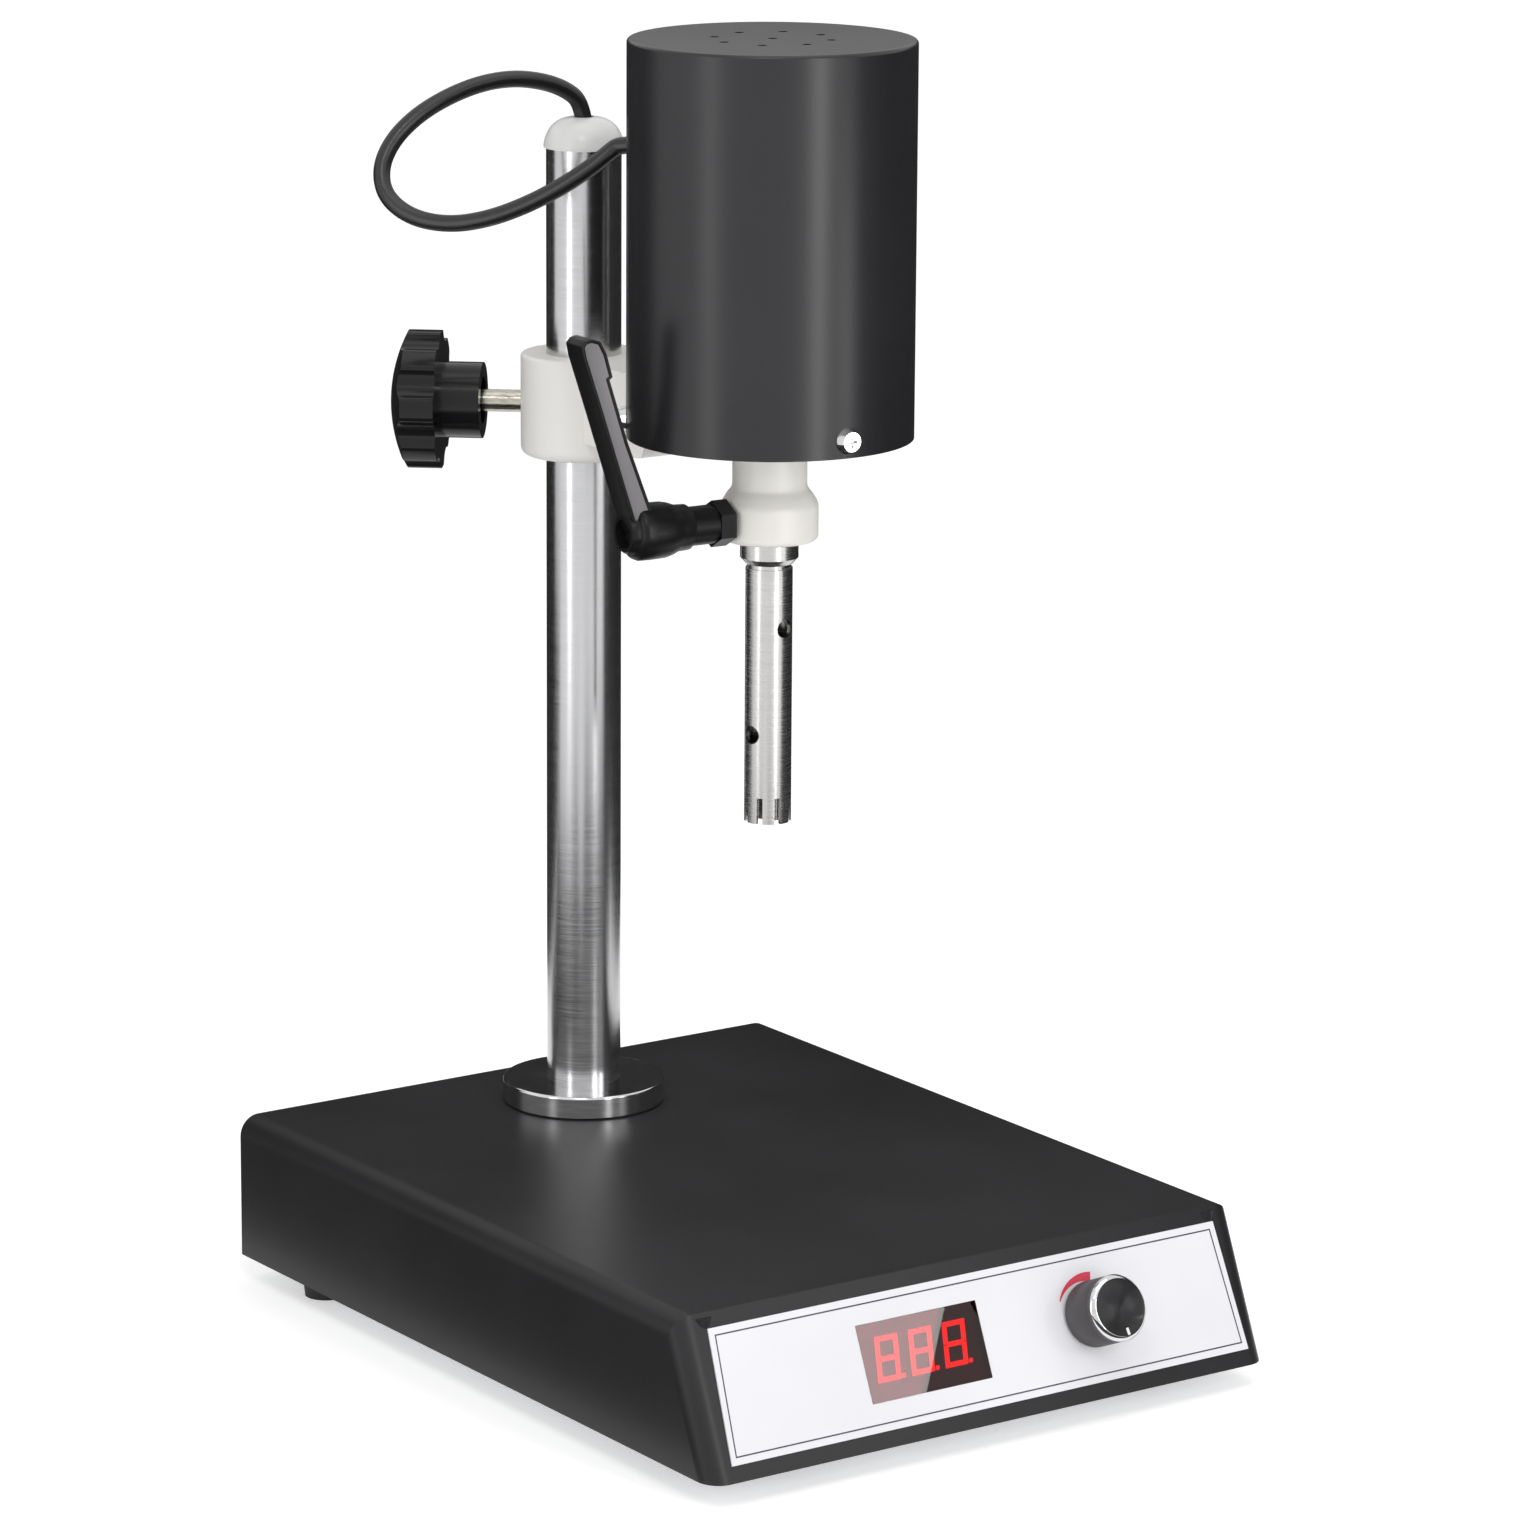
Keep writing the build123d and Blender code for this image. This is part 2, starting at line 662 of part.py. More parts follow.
lobe_cut_radius = 6.5
lobe_cut_circle = star_radius + 3.4
with BuildPart() as star_knob:
    with BuildSketch(knob_axis.offset(star_disc_start)) as lobes:
        Circle(star_radius)
        with PolarLocations(lobe_cut_circle, star_lobes, start_angle=180 / star_lobes):
            Circle(lobe_cut_radius, mode=Mode.SUBTRACT)
        fillet(lobes.vertices(), 2.2)
    extrude(amount=star_disc_length + star_dome_height)
    dome_radius = (star_radius**2 + star_dome_height**2) / (2 * star_dome_height)
    dome_turn = radians(12)
    dome_top = star_disc_end + star_dome_height
    dome_clear = 3.0
    dome_middle = (dome_top - dome_radius * (1 - cos(dome_turn)), dome_radius * sin(dome_turn))
    with BuildSketch(Plane(origin=knob_axis.origin, x_dir=knob_out, z_dir=(0, 0, 1))) as dome_cut:
        with BuildLine():
            ThreePointArc((dome_top, 0), dome_middle, (star_disc_end, star_radius))
            Line((star_disc_end, star_radius), (star_disc_end, star_radius + dome_clear))
            Line((star_disc_end, star_radius + dome_clear), (dome_top + dome_clear, star_radius + dome_clear))
            Line((dome_top + dome_clear, star_radius + dome_clear), (dome_top + dome_clear, 0))
            Line((dome_top + dome_clear, 0), (dome_top, 0))
        make_face()
    revolve(axis=Axis(knob_axis.origin, knob_out), mode=Mode.SUBTRACT)
    with BuildSketch(knob_axis.offset(star_hub_start)):
        Circle(star_hub_radius)
    extrude(amount=star_disc_start - star_hub_start)
    with BuildSketch(knob_axis.offset(star_hub_start)):
        Circle(0.62 * star_hub_radius)
    extrude(amount=3.0, mode=Mode.SUBTRACT)
    with BuildSketch(knob_axis.offset(star_hub_start)):
        Circle(stud_radius)
    extrude(amount=stud_end - star_hub_start, mode=Mode.SUBTRACT)
star_knob.part.label = "star_knob"
export_list.append(star_knob)

# Motor housing: drawn can, open below, with vents in its top
motor_front = -90.0 + motor_turn
can_screw_azimuths = [motor_front, motor_front + 120.0, motor_front - 120.0]
can_screw_radius = 2.0
grommet_hole = 4.4
entry_plane = radial_plane(motor_y, cable_entry_height, cable_entry_azimuth, 0)
with BuildPart() as motor_can:
    with BuildSketch(Plane.XY.offset(can_bottom)):
        with Locations((0, motor_y)):
            Circle(can_radius)
    extrude(amount=can_top - can_bottom)
    top_edge = motor_can.edges().filter_by(GeomType.CIRCLE).sort_by(Axis.Z)[-1]
    fillet(top_edge, 1.2)
    with BuildSketch(Plane.XY.offset(can_bottom)):
        with Locations((0, motor_y)):
            Circle(can_inner)
    extrude(amount=can_top - can_bottom - can_wall, mode=Mode.SUBTRACT)
    with BuildSketch(Plane.XY.offset(can_top - can_wall)):
        with Locations((0, motor_y)):
            with PolarLocations(vent_circle / 2, vent_count):
                Circle(vent_radius)
            Circle(vent_radius)
    extrude(amount=can_wall, mode=Mode.SUBTRACT)
    for azimuth in can_screw_azimuths:
        with BuildSketch(radial_plane(motor_y, can_screw_height, azimuth, can_inner - 1)):
            Circle(can_screw_radius + running)
        extrude(amount=can_wall + 2, mode=Mode.SUBTRACT)
    with BuildSketch(Plane.XZ.offset(-motor_y - can_radius - 1)):
        with Locations((arm_stud_x, arm_stud_height), (-arm_stud_x, arm_stud_height)):
            Circle(arm_stud_radius + running)
    extrude(amount=6.0, mode=Mode.SUBTRACT)
    with BuildSketch(entry_plane.offset(can_inner - 1)):
        Circle(grommet_hole)
    extrude(amount=can_wall + 2, mode=Mode.SUBTRACT)
motor_can.part.label = "motor_can"
export_list.append(motor_can)

# End plate that closes the can from below and carries motor, chuck and arm studs
chuck_flange_radius = 20.0
chuck_flange_height = 4.0
with BuildPart() as end_plate:
    with BuildSketch(Plane.XY.offset(end_plate_bottom)):
        with Locations((0, motor_y)):
            Circle(can_inner - running)
            Circle(neck_radius + running, mode=Mode.SUBTRACT)
    extrude(amount=end_plate_height)
    for azimuth in can_screw_azimuths:
        with BuildSketch(radial_plane(motor_y, can_screw_height, azimuth, can_inner + 1)):
            Circle(can_screw_radius + running)
        extrude(amount=-10.0, mode=Mode.SUBTRACT)
    with BuildSketch(Plane.XZ.offset(-motor_y - can_radius - 1)):
        with Locations((arm_stud_x, arm_stud_height), (-arm_stud_x, arm_stud_height)):
            Circle(arm_stud_radius + running)
    extrude(amount=stud_in_plate + 2.0, mode=Mode.SUBTRACT)
end_plate.part.label = "end_plate"
export_list.append(end_plate)

# Pan-head screws round the can's lower rim
screw_head_radius = 4.2
screw_head_height = 2.6
with BuildPart() as can_screws:
    for azimuth in can_screw_azimuths:
        with BuildSketch(radial_plane(motor_y, can_screw_height, azimuth, can_radius - 7.5)):
            Circle(can_screw_radius)
        extrude(amount=7.5)
        with BuildSketch(radial_plane(motor_y, can_screw_height, azimuth, can_radius)):
            Circle(screw_head_radius)
        extrude(amount=screw_head_height, taper=22)
        with BuildSketch(radial_plane(motor_y, can_screw_height, azimuth, can_radius + screw_head_height)):
            Rectangle(3.6, 0.9)
            Rectangle(0.9, 3.6)
        extrude(amount=-1.2, mode=Mode.SUBTRACT)
can_screws.part.label = "can_screws"
export_list.append(can_screws)

# Rubber grommet where the cable enters the can
with BuildPart() as cable_grommet:
    with BuildSketch(Plane(origin=entry_plane.origin, x_dir=entry_plane.z_dir, z_dir=(0, 0, 1))):
        with BuildLine():
            Polyline(
                (can_inner - 1.8, cable_radius + 0.1),
                (can_radius + 3.0, cable_radius + 0.1),
                (can_radius + 3.0, 5.0),
                (can_radius + 0.1, 6.4),
                (can_radius + 0.1, grommet_hole - seat),
                (can_inner - 0.6, grommet_hole - seat),
                (can_inner - 0.6, 5.4),
                (can_inner - 1.8, 5.0),
                close=True,
            )
        make_face()
    revolve(axis=Axis(entry_plane.origin, entry_plane.z_dir))
cable_grommet.part.label = "cable_grommet"
export_list.append(cable_grommet)

# Chuck: white plastic neck and body in one turned piece, with its flange inside the can
chuck_bore = tube_radius + running
coupling_room = 6.6
shank_top = chuck_bottom + shank_length
with BuildPart() as chuck_neck:
    with BuildSketch(Plane.XZ):
        with BuildLine():
            Line((chuck_bore, chuck_bottom), (chuck_radius - 2.0, chuck_bottom))
            RadiusArc((chuck_radius - 2.0, chuck_bottom), (chuck_radius, chuck_bottom + 2.0), -2.0)
            Line((chuck_radius, chuck_bottom + 2.0), (chuck_radius, shoulder_low))
            Spline(
                (chuck_radius, shoulder_low),
                (chuck_radius - 1.1, shoulder_low + 3.1),
                (neck_radius + 1.4, shoulder_high - 3.1),
                (neck_radius, shoulder_high),
                tangents=[(0, 1), (0, 1)],
            )
            Line((neck_radius, shoulder_high), (neck_radius, end_plate_top))
            Line((neck_radius, end_plate_top), (chuck_flange_radius, end_plate_top))
            Line(
                (chuck_flange_radius, end_plate_top),
                (chuck_flange_radius, end_plate_top + chuck_flange_height),
            )
            Line(
                (chuck_flange_radius, end_plate_top + chuck_flange_height),
                (coupling_room, end_plate_top + chuck_flange_height),
            )
            Line((coupling_room, end_plate_top + chuck_flange_height), (coupling_room, shank_top + 1.0))
            Line((coupling_room, shank_top + 1.0), (chuck_bore, shank_top + 1.0))
            Line((chuck_bore, shank_top + 1.0), (chuck_bore, chuck_bottom))
        make_face()
    revolve(axis=Axis.Z)
chuck_neck.part.position = (0, motor_y, 0)
lever_azimuth = 180.0 + motor_turn
lever_out = direction(lever_azimuth)
lever_axis = Plane(origin=Vector(0, motor_y, lever_height), x_dir=(0, 0, 1), z_dir=lever_out)
lever_stud_radius = 3.0
with BuildPart() as chuck:
    add(chuck_neck.part)
    with BuildSketch(lever_axis):
        Circle(lever_stud_radius + running)
    extrude(amount=chuck_radius + 1, mode=Mode.SUBTRACT)
chuck.part.label = "chuck"
export_list.append(chuck)

# Clamping lever: threaded insert, pull-out handle and its retaining screw
insert_gap = 0.6
insert_start = chuck_radius + insert_gap
insert_collar = insert_start + 5.6
hub_start = insert_start + 14.6
hub_end = hub_start + 21.4
insert_radius = 6.3
serration_end = hub_start + 9.0
screw_seat = hub_end - 3.6
lever_screw_radius = 2.0
handle_pull = 3.0
with BuildPart() as lever_insert:
    with BuildSketch(lever_axis.offset(tube_radius + lift_gap)):
        Circle(lever_stud_radius)
    extrude(amount=insert_start - tube_radius - lift_gap)
    with BuildSketch(lever_axis.offset(insert_start)):
        RegularPolygon(7.6, 6)
    extrude(amount=insert_collar - insert_start)
    with BuildSketch(lever_axis.offset(insert_collar)):
        Circle(insert_radius)
    extrude(amount=hub_start - insert_collar)
    with BuildSketch(lever_axis.offset(hub_start)):
        Circle(insert_radius - 1.0)
    extrude(amount=serration_end - hub_start)
    with BuildSketch(lever_axis.offset(serration_end)):
        Circle(lever_screw_radius)
    extrude(amount=-7.0, mode=Mode.SUBTRACT)
lever_insert.part.label = "lever_insert"
export_list.append(lever_insert)

with BuildPart() as lever_screw:
    with BuildSketch(lever_axis.offset(serration_end - 7.0)):
        Circle(lever_screw_radius)
    extrude(amount=screw_seat - serration_end + 7.0)
    with BuildSketch(lever_axis.offset(screw_seat)):
        Circle(4.2)
    extrude(amount=2.6)
    with BuildSketch(lever_axis.offset(screw_seat + 2.6)):
        Rectangle(5.2, 1.0)
    extrude(amount=-1.0, mode=Mode.SUBTRACT)
lever_screw.part.label = "lever_screw"
export_list.append(lever_screw)

bore_start = serration_end + 1.6

# The arm leans outwards; its section tapers and its tip turns in as a thumb stop
arm_root_rise = 7.0
lever_plane = Plane(
    origin=Vector(0, motor_y, lever_height),
    x_dir=lever_out,
    z_dir=lever_out.cross(Vector(0, 0, 1)),
)
arm_root_out = hub_end + 2.2
arm_tip_out = arm_root_out + 18.8
with BuildPart() as lever_handle:
    with BuildSketch(lever_axis.offset(hub_start + 0.4)):
        Circle(7.4)
    with BuildSketch(lever_axis.offset(hub_start + 4.4)):
        Circle(7.6)
    loft()
    with BuildSketch(lever_axis.offset(hub_start + 4.4)):
        Circle(7.6)
    with BuildSketch(lever_axis.offset(hub_end)):
        Circle(9.0)
    loft()
    fillet(lever_handle.faces().sort_by(Axis(lever_axis.origin, lever_out))[-1].edges(), 2.4)
    with BuildSketch(lever_plane.offset(-5.2)) as arm_outline:
        with BuildLine():
            Polyline(
                (hub_start + 14.0, 0),
                (arm_root_out - 2.6, 0),
                (arm_root_out, arm_root_rise),
                (arm_tip_out, lever_arm_length - 1.5),
                (arm_tip_out - 2.4, lever_arm_length),
                (arm_tip_out - 7.4, lever_arm_length - 2.0),
                (arm_tip_out - 10.4, lever_arm_length - 12.0),
                (arm_tip_out - 9.0, lever_arm_length - 13.4),
                (hub_start + 14.0, arm_root_rise),
                close=True,
            )
        make_face()
    extrude(amount=10.4)
    with BuildSketch(lever_axis.offset(hub_start)):
        Circle(insert_radius - 1.0 + running)
    extrude(amount=serration_end + 0.4 - hub_start, mode=Mode.SUBTRACT)
    with BuildSketch(lever_axis.offset(serration_end)):
        Circle(lever_screw_radius + 0.3)
    extrude(amount=4.0, mode=Mode.SUBTRACT)
    with BuildSketch(lever_axis.offset(bore_start)):
        Circle(4.6)
    extrude(amount=hub_end - bore_start + 4, mode=Mode.SUBTRACT)
lever_handle.part.label = "lever_handle"
export_list.append(lever_handle)

# Working head: slotted stator tube with its collar and shank
tube_top = shank_top
collar_top = chuck_bottom - lift_gap
collar_bottom = collar_top - collar_height
with BuildPart() as tube_turning:
    with BuildSketch(Plane.XZ):
        with BuildLine():
            Polyline(
                (tube_bore, tip_height),
                (tube_radius, tip_height),
                (tube_radius, collar_bottom - 3.4),
                (tube_radius - 0.5, collar_bottom - 3.4),
                (tube_radius - 0.5, collar_bottom - 2.0),
                (tube_radius, collar_bottom - 2.0),
                (collar_radius, collar_bottom),
                (collar_radius, collar_top),
                (tube_radius, collar_top),
                (tube_radius, tube_top),
                (tube_bore, tube_top),
                close=True,
            )
        make_face()
    revolve(axis=Axis.Z)
tube_turning.part.position = (0, motor_y, 0)
side_holes = [(tip_height + 64.1, 279.0), (tip_height + 29.2, 189.0)]
first_slot = 35.0
with BuildPart() as head_tube:
    add(tube_turning.part)
    for height, azimuth in side_holes:
        with BuildSketch(radial_plane(motor_y, height, azimuth, -tube_radius - 1)):
            Circle(side_hole_radius)
        extrude(amount=2 * tube_radius + 2, mode=Mode.SUBTRACT)
    with BuildSketch(Plane.XY.offset(tip_height)):
        with Locations((0, motor_y)):
            with PolarLocations((tube_radius + tube_bore) / 2, slot_count, start_angle=first_slot):
                Rectangle(3.0, slot_width)
    extrude(amount=slot_height, mode=Mode.SUBTRACT)
head_tube.part.label = "head_tube"
export_list.append(head_tube)

# Plain bearings of the rotor shaft, one low and one high in the tube
bush_height = 8.0
bush_levels = [tip_height + 12.0, shank_top - bush_height - 4.0]
with BuildPart() as head_bushes:
    for level in bush_levels:
        with BuildSketch(Plane.XY.offset(level)):
            with Locations((0, motor_y)):
                Circle(tube_bore)
                Circle(rotor_shaft_radius + running, mode=Mode.SUBTRACT)
        extrude(amount=bush_height)
head_bushes.part.label = "head_bushes"
export_list.append(head_bushes)

# Rotor: shaft with a driving tongue above and a four-vane cutter below
shaft_bottom = tip_height + 3.0
shaft_top = shank_top + 2.0
tongue_width = 4.0
tongue_height = 7.0
with BuildPart() as rotor_shaft:
    with BuildSketch(Plane.XY.offset(shaft_bottom)):
        with Locations((0, motor_y)):
            Circle(rotor_shaft_radius)
    extrude(amount=shaft_top - shaft_bottom)
    with BuildSketch(Plane.XY.offset(shaft_top)):
        with Locations((0, motor_y)):
            Rectangle(9.0, tongue_width)
            Circle(5.2, mode=Mode.INTERSECT)
    extrude(amount=tongue_height)
rotor_shaft.part.label = "rotor_shaft"
export_list.append(rotor_shaft)

cutter_height = 8.0
cutter_radius = tube_bore - rotor_gap
with BuildPart() as rotor_cutter:
    with BuildSketch(Plane.XY.offset(tip_height + 1.0)):
        with Locations((0, motor_y)):
            Circle(rotor_shaft_radius + 1.0)
            with PolarLocations(cutter_radius / 2, 4):
                Rectangle(cutter_radius, 1.8)
            Circle(cutter_radius, mode=Mode.INTERSECT)
    extrude(amount=cutter_height)
    with BuildSketch(Plane.XY.offset(shaft_bottom)):
        with Locations((0, motor_y)):
            Circle(rotor_shaft_radius)
    extrude(amount=cutter_height, mode=Mode.SUBTRACT)
rotor_cutter.part.label = "rotor_cutter"
export_list.append(rotor_cutter)

# Drive coupling on the spindle's end, with the slot that takes the rotor's tongue
coupling_radius = 6.0
coupling_bottom = shaft_top + 0.5
coupling_height = 16.0
coupling_top = coupling_bottom + coupling_height
spindle_bottom = coupling_bottom + tongue_height + 1.5
with BuildPart() as drive_coupling:
    with BuildSketch(Plane.XY.offset(coupling_bottom)):
        with Locations((0, motor_y)):
            Circle(coupling_radius)
    extrude(amount=coupling_height)
    with BuildSketch(Plane.XY.offset(coupling_bottom)):
        with Locations((0, motor_y)):
            Rectangle(14.0, tongue_width + 0.3)
    extrude(amount=tongue_height + 0.5, mode=Mode.SUBTRACT)
    with BuildSketch(Plane.XY.offset(spindle_bottom)):
        with Locations((0, motor_y)):
            Circle(spindle_radius)
    extrude(amount=coupling_height, mode=Mode.SUBTRACT)
drive_coupling.part.label = "drive_coupling"
export_list.append(drive_coupling)

# Motor stack, from the lower bracket up to the fan
lower_plate = end_plate_top + 6.5
bracket_plate = 4.0
stack_bottom = lower_plate + bracket_plate + 12.0
stack_top = stack_bottom + stack_height
upper_plate = stack_top + 24.0
bracket_outer = stack_radius + 2.0
bracket_inner = stack_radius - 3.0
post_circle = 33.0
with BuildPart() as lower_bracket:
    with BuildSketch(Plane.XY.offset(lower_plate)):
        with Locations((0, motor_y)):
            Circle(bracket_outer)
            Circle(bearing_radius, mode=Mode.SUBTRACT)
    extrude(amount=bracket_plate)
    with BuildSketch(Plane.XY.offset(lower_plate + bracket_plate)):
        with Locations((0, motor_y)):
            Circle(bracket_outer)
            Circle(bracket_inner, mode=Mode.SUBTRACT)
            Circle(bearing_radius + 3.0)
            Circle(bearing_radius, mode=Mode.SUBTRACT)
    extrude(amount=bearing_height - bracket_plate)
    with BuildSketch(Plane.XY.offset(lower_plate + bearing_height)):
        with Locations((0, motor_y)):
            Circle(bracket_outer)
            Circle(bracket_inner, mode=Mode.SUBTRACT)
    extrude(amount=stack_bottom - lower_plate - bearing_height)
    with BuildSketch(Plane.XY.offset(end_plate_top)):
        with Locations((0, motor_y)):
            with PolarLocations(post_circle, 4, start_angle=45):
                Circle(3.5)
    extrude(amount=lower_plate - end_plate_top)
lower_bracket.part.label = "lower_bracket"
export_list.append(lower_bracket)

with BuildPart() as upper_bracket:
    with BuildSketch(Plane.XY.offset(stack_top)):
        with Locations((0, motor_y)):
            Circle(bracket_outer)
            Circle(bracket_inner, mode=Mode.SUBTRACT)
    extrude(amount=upper_plate - stack_top)
    with BuildSketch(Plane.XY.offset(upper_plate)):
        with Locations((0, motor_y)):
            Circle(bracket_outer)
            with PolarLocations(22.5, 4, start_angle=45):
                Circle(5.5, mode=Mode.SUBTRACT)
            Circle(bearing_radius, mode=Mode.SUBTRACT)
    extrude(amount=bearing_height)
    brush_level = stack_top + 15.0
    brush_tube = 4.0
    for azimuth in (0.0, 180.0):
        with BuildSketch(radial_plane(motor_y, brush_level, azimuth, bracket_inner - 3)):
            Circle(brush_tube)
        extrude(amount=9.0, mode=Mode.SUBTRACT)
upper_bracket.part.label = "upper_bracket"
export_list.append(upper_bracket)

with BuildPart() as motor_bearings:
    for level in (lower_plate, upper_plate):
        with BuildSketch(Plane.XY.offset(level)):
            with Locations((0, motor_y)):
                Circle(bearing_radius)
                Circle(spindle_radius + running, mode=Mode.SUBTRACT)
        extrude(amount=bearing_height)
motor_bearings.part.label = "motor_bearings"
export_list.append(motor_bearings)

# Field stack: two poles round the armature, with the coils in the gaps beside them
with BuildPart() as field_stack:
    with BuildSketch(Plane.XY.offset(stack_bottom)):
        with Locations((0, motor_y)):
            Circle(stack_radius)
            Circle(stack_radius - 6.0, mode=Mode.SUBTRACT)
            Rectangle(26.0, 2 * stack_radius - 4.0)
            Circle(armature_radius + air_gap, mode=Mode.SUBTRACT)
    extrude(amount=stack_height)
field_stack.part.label = "field_stack"
export_list.append(field_stack)

coil_rise = 7.0
with BuildPart() as field_coils:
    with BuildSketch(Plane.XY.offset(stack_bottom - coil_rise)):
        with Locations((0, motor_y)):
            Circle(stack_radius - 6.0 - seat)
            Circle(armature_radius + air_gap + 1.0, mode=Mode.SUBTRACT)
            Rectangle(26.0 + 2 * seat, 2 * stack_radius, mode=Mode.SUBTRACT)
    extrude(amount=stack_height + 2 * coil_rise)
field_coils.part.label = "field_coils"
export_list.append(field_coils)

with BuildPart() as brush_holders:
    for azimuth in (0.0, 180.0):
        with BuildSketch(radial_plane(motor_y, brush_level, azimuth, commutator_radius + 3.0)):
            Circle(brush_tube)
            Rectangle(5.0, 4.0, mode=Mode.SUBTRACT)
        extrude(amount=bracket_outer - commutator_radius - 2.0)
brush_holders.part.label = "brush_holders"
export_list.append(brush_holders)

with BuildPart() as carbon_brushes:
    for azimuth in (0.0, 180.0):
        with BuildSketch(radial_plane(motor_y, brush_level, azimuth, commutator_radius + seat)):
            Rectangle(5.0 - 2 * running, 4.0 - 2 * running)
        extrude(amount=16.0)
carbon_brushes.part.label = "carbon_brushes"
export_list.append(carbon_brushes)

# Turning parts of the motor
fan_level = upper_plate + bearing_height + 3.0
spindle_top = fan_level + 9.0
with BuildPart() as motor_spindle:
    with BuildSketch(Plane.XY.offset(spindle_bottom)):
        with Locations((0, motor_y)):
            Circle(spindle_radius)
    extrude(amount=spindle_top - spindle_bottom)
motor_spindle.part.label = "motor_spindle"
export_list.append(motor_spindle)

armature_slots = 12
with BuildPart() as armature:
    with BuildSketch(Plane.XY.offset(stack_bottom)):
        with Locations((0, motor_y)):
            Circle(armature_radius)
            with PolarLocations(armature_radius - 2.5, armature_slots):
                Rectangle(6.0, 2.4, mode=Mode.SUBTRACT)
            Circle(spindle_radius, mode=Mode.SUBTRACT)
    extrude(amount=stack_height)
armature.part.label = "armature"
export_list.append(armature)

winding_radius = armature_radius - 6.5
with BuildPart() as windings:
    for level in (stack_bottom - coil_rise, stack_top):
        with BuildSketch(Plane.XY.offset(level)):
            with Locations((0, motor_y)):
                Circle(winding_radius)
                Circle(spindle_radius, mode=Mode.SUBTRACT)
        extrude(amount=coil_rise)
windings.part.label = "windings"
export_list.append(windings)

with BuildPart() as commutator:
    with BuildSketch(Plane.XY.offset(stack_top + coil_rise)):
        with Locations((0, motor_y)):
            Circle(commutator_radius)
            Circle(spindle_radius, mode=Mode.SUBTRACT)
    extrude(amount=14.0)
commutator.part.label = "commutator"
export_list.append(commutator)

fan_blades = 8
with BuildPart() as cooling_fan:
    with BuildSketch(Plane.XY.offset(fan_level)):
        with Locations((0, motor_y)):
            Circle(fan_radius)
            Circle(spindle_radius, mode=Mode.SUBTRACT)
    extrude(amount=1.2)
    with BuildSketch(Plane.XY.offset(fan_level + 1.2)):
        with Locations((0, motor_y)):
            Circle(7.0)
            with PolarLocations((fan_radius + 7.0) / 2, fan_blades):
                Rectangle(fan_radius - 9.0, 1.2, rotation=12)
            Circle(spindle_radius, mode=Mode.SUBTRACT)
    extrude(amount=7.0)
cooling_fan.part.label = "cooling_fan"
export_list.append(cooling_fan)

# Control electronics in the base
with BuildPart() as control_board:
    with BuildSketch(Plane.XY.offset(floor_top + stud_height)):
        with Locations((board_x, board_y)):
            Rectangle(board_width, board_depth)
    extrude(amount=1.6)
    board_top = floor_top + stud_height + 1.6
    with BuildSketch(Plane.XY.offset(board_top)):
        with Locations((board_x - 30, board_y + 18)):
            Circle(8.0)
    extrude(amount=20.0)
    with BuildSketch(Plane.XY.offset(board_top)):
        with Locations((board_x + 22, board_y + 16)):
            Rectangle(34.0, 14.0)
        with Locations((board_x + 12, board_y - 24)):
            Rectangle(50.0, 9.0)
    extrude(amount=12.0)
control_board.part.label = "control_board"
export_list.append(control_board)

with BuildPart() as transformer:
    with BuildSketch(Plane.XY.offset(floor_top)):
        with Locations((-58, -20)):
            Rectangle(48.0, 22.0)
    extrude(amount=34.0)
    with BuildSketch(Plane.XY.offset(floor_top + 8)):
        with Locations((-58, -20)):
            Rectangle(30.0, 38.0)
    extrude(amount=22.0)
transformer.part.label = "transformer"
export_list.append(transformer)

# Motor cable, from the cap on the column to the grommet in the can
cable_start = (0, column_y, cap_top - 1.4)
cable_end_point = entry_plane.origin + entry_plane.z_dir * (can_radius + 0.8)
cable_turn_in = entry_plane.origin + entry_plane.z_dir * (can_radius + 8.6)
cable_points = [
    cable_start,
    (-1.2, 94.5, 397.6),
    (-6.4, 95.6, 401.9),
    (-14.2, 96.8, 404.9),
    (-24.0, 99.2, 406.4),
    (-35.0, 101.6, 405.3),
    (-46.5, 104.0, 401.5),
    (-57.5, 106.2, 395.6),
    (-66.4, 107.2, 387.8),
    (-71.8, 105.9, 378.9),
    (-72.6, 101.0, 370.4),
    (-67.6, 92.6, 364.4),
    (-60.0, 82.0, 363.0),
    (-52.4, 71.2, 365.6),
    (-45.6, 60.4, 370.6),
    (-39.0, 50.6, 376.8),
    (-32.6, 42.6, 383.6),
    (-28.4, 36.9, 389.3),
    tuple(cable_turn_in),
    tuple(cable_end_point),
]
cable_vectors = [Vector(*point) for point in cable_points]
cable_bends = []
for before, here, after in zip(cable_vectors, cable_vectors[1:], cable_vectors[2:]):
    half_turn = radians((here - before).get_angle(after - here) / 2)
    cable_bends.append(0.45 * min((here - before).length, (after - here).length) / tan(half_turn))
print("cable radii", [round(bend, 1) for bend in cable_bends])
with BuildPart() as motor_cable:
    with BuildLine():
        cable_path = FilletPolyline(*cable_vectors, radius=cable_bends)
    with BuildSketch(Plane(origin=cable_path @ 0, z_dir=cable_path % 0)):
        Circle(cable_radius)
    sweep(path=cable_path)
cable_length = cable_path.length
print("cable length", round(cable_length, 1), "volume", round(motor_cable.part.volume, 1))
print("section times length", round(pi * cable_radius**2 * cable_length, 1))
motor_cable.part.label = "motor_cable"
export_list.append(motor_cable)

os.makedirs("parts", exist_ok=True)
for piece in export_list:
    export_step(piece.part, f"parts/{piece.part.label}.step")
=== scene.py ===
import bpy
import json
from math import atan2, cos, degrees, hypot, radians, sin
from mathutils import Matrix, Vector


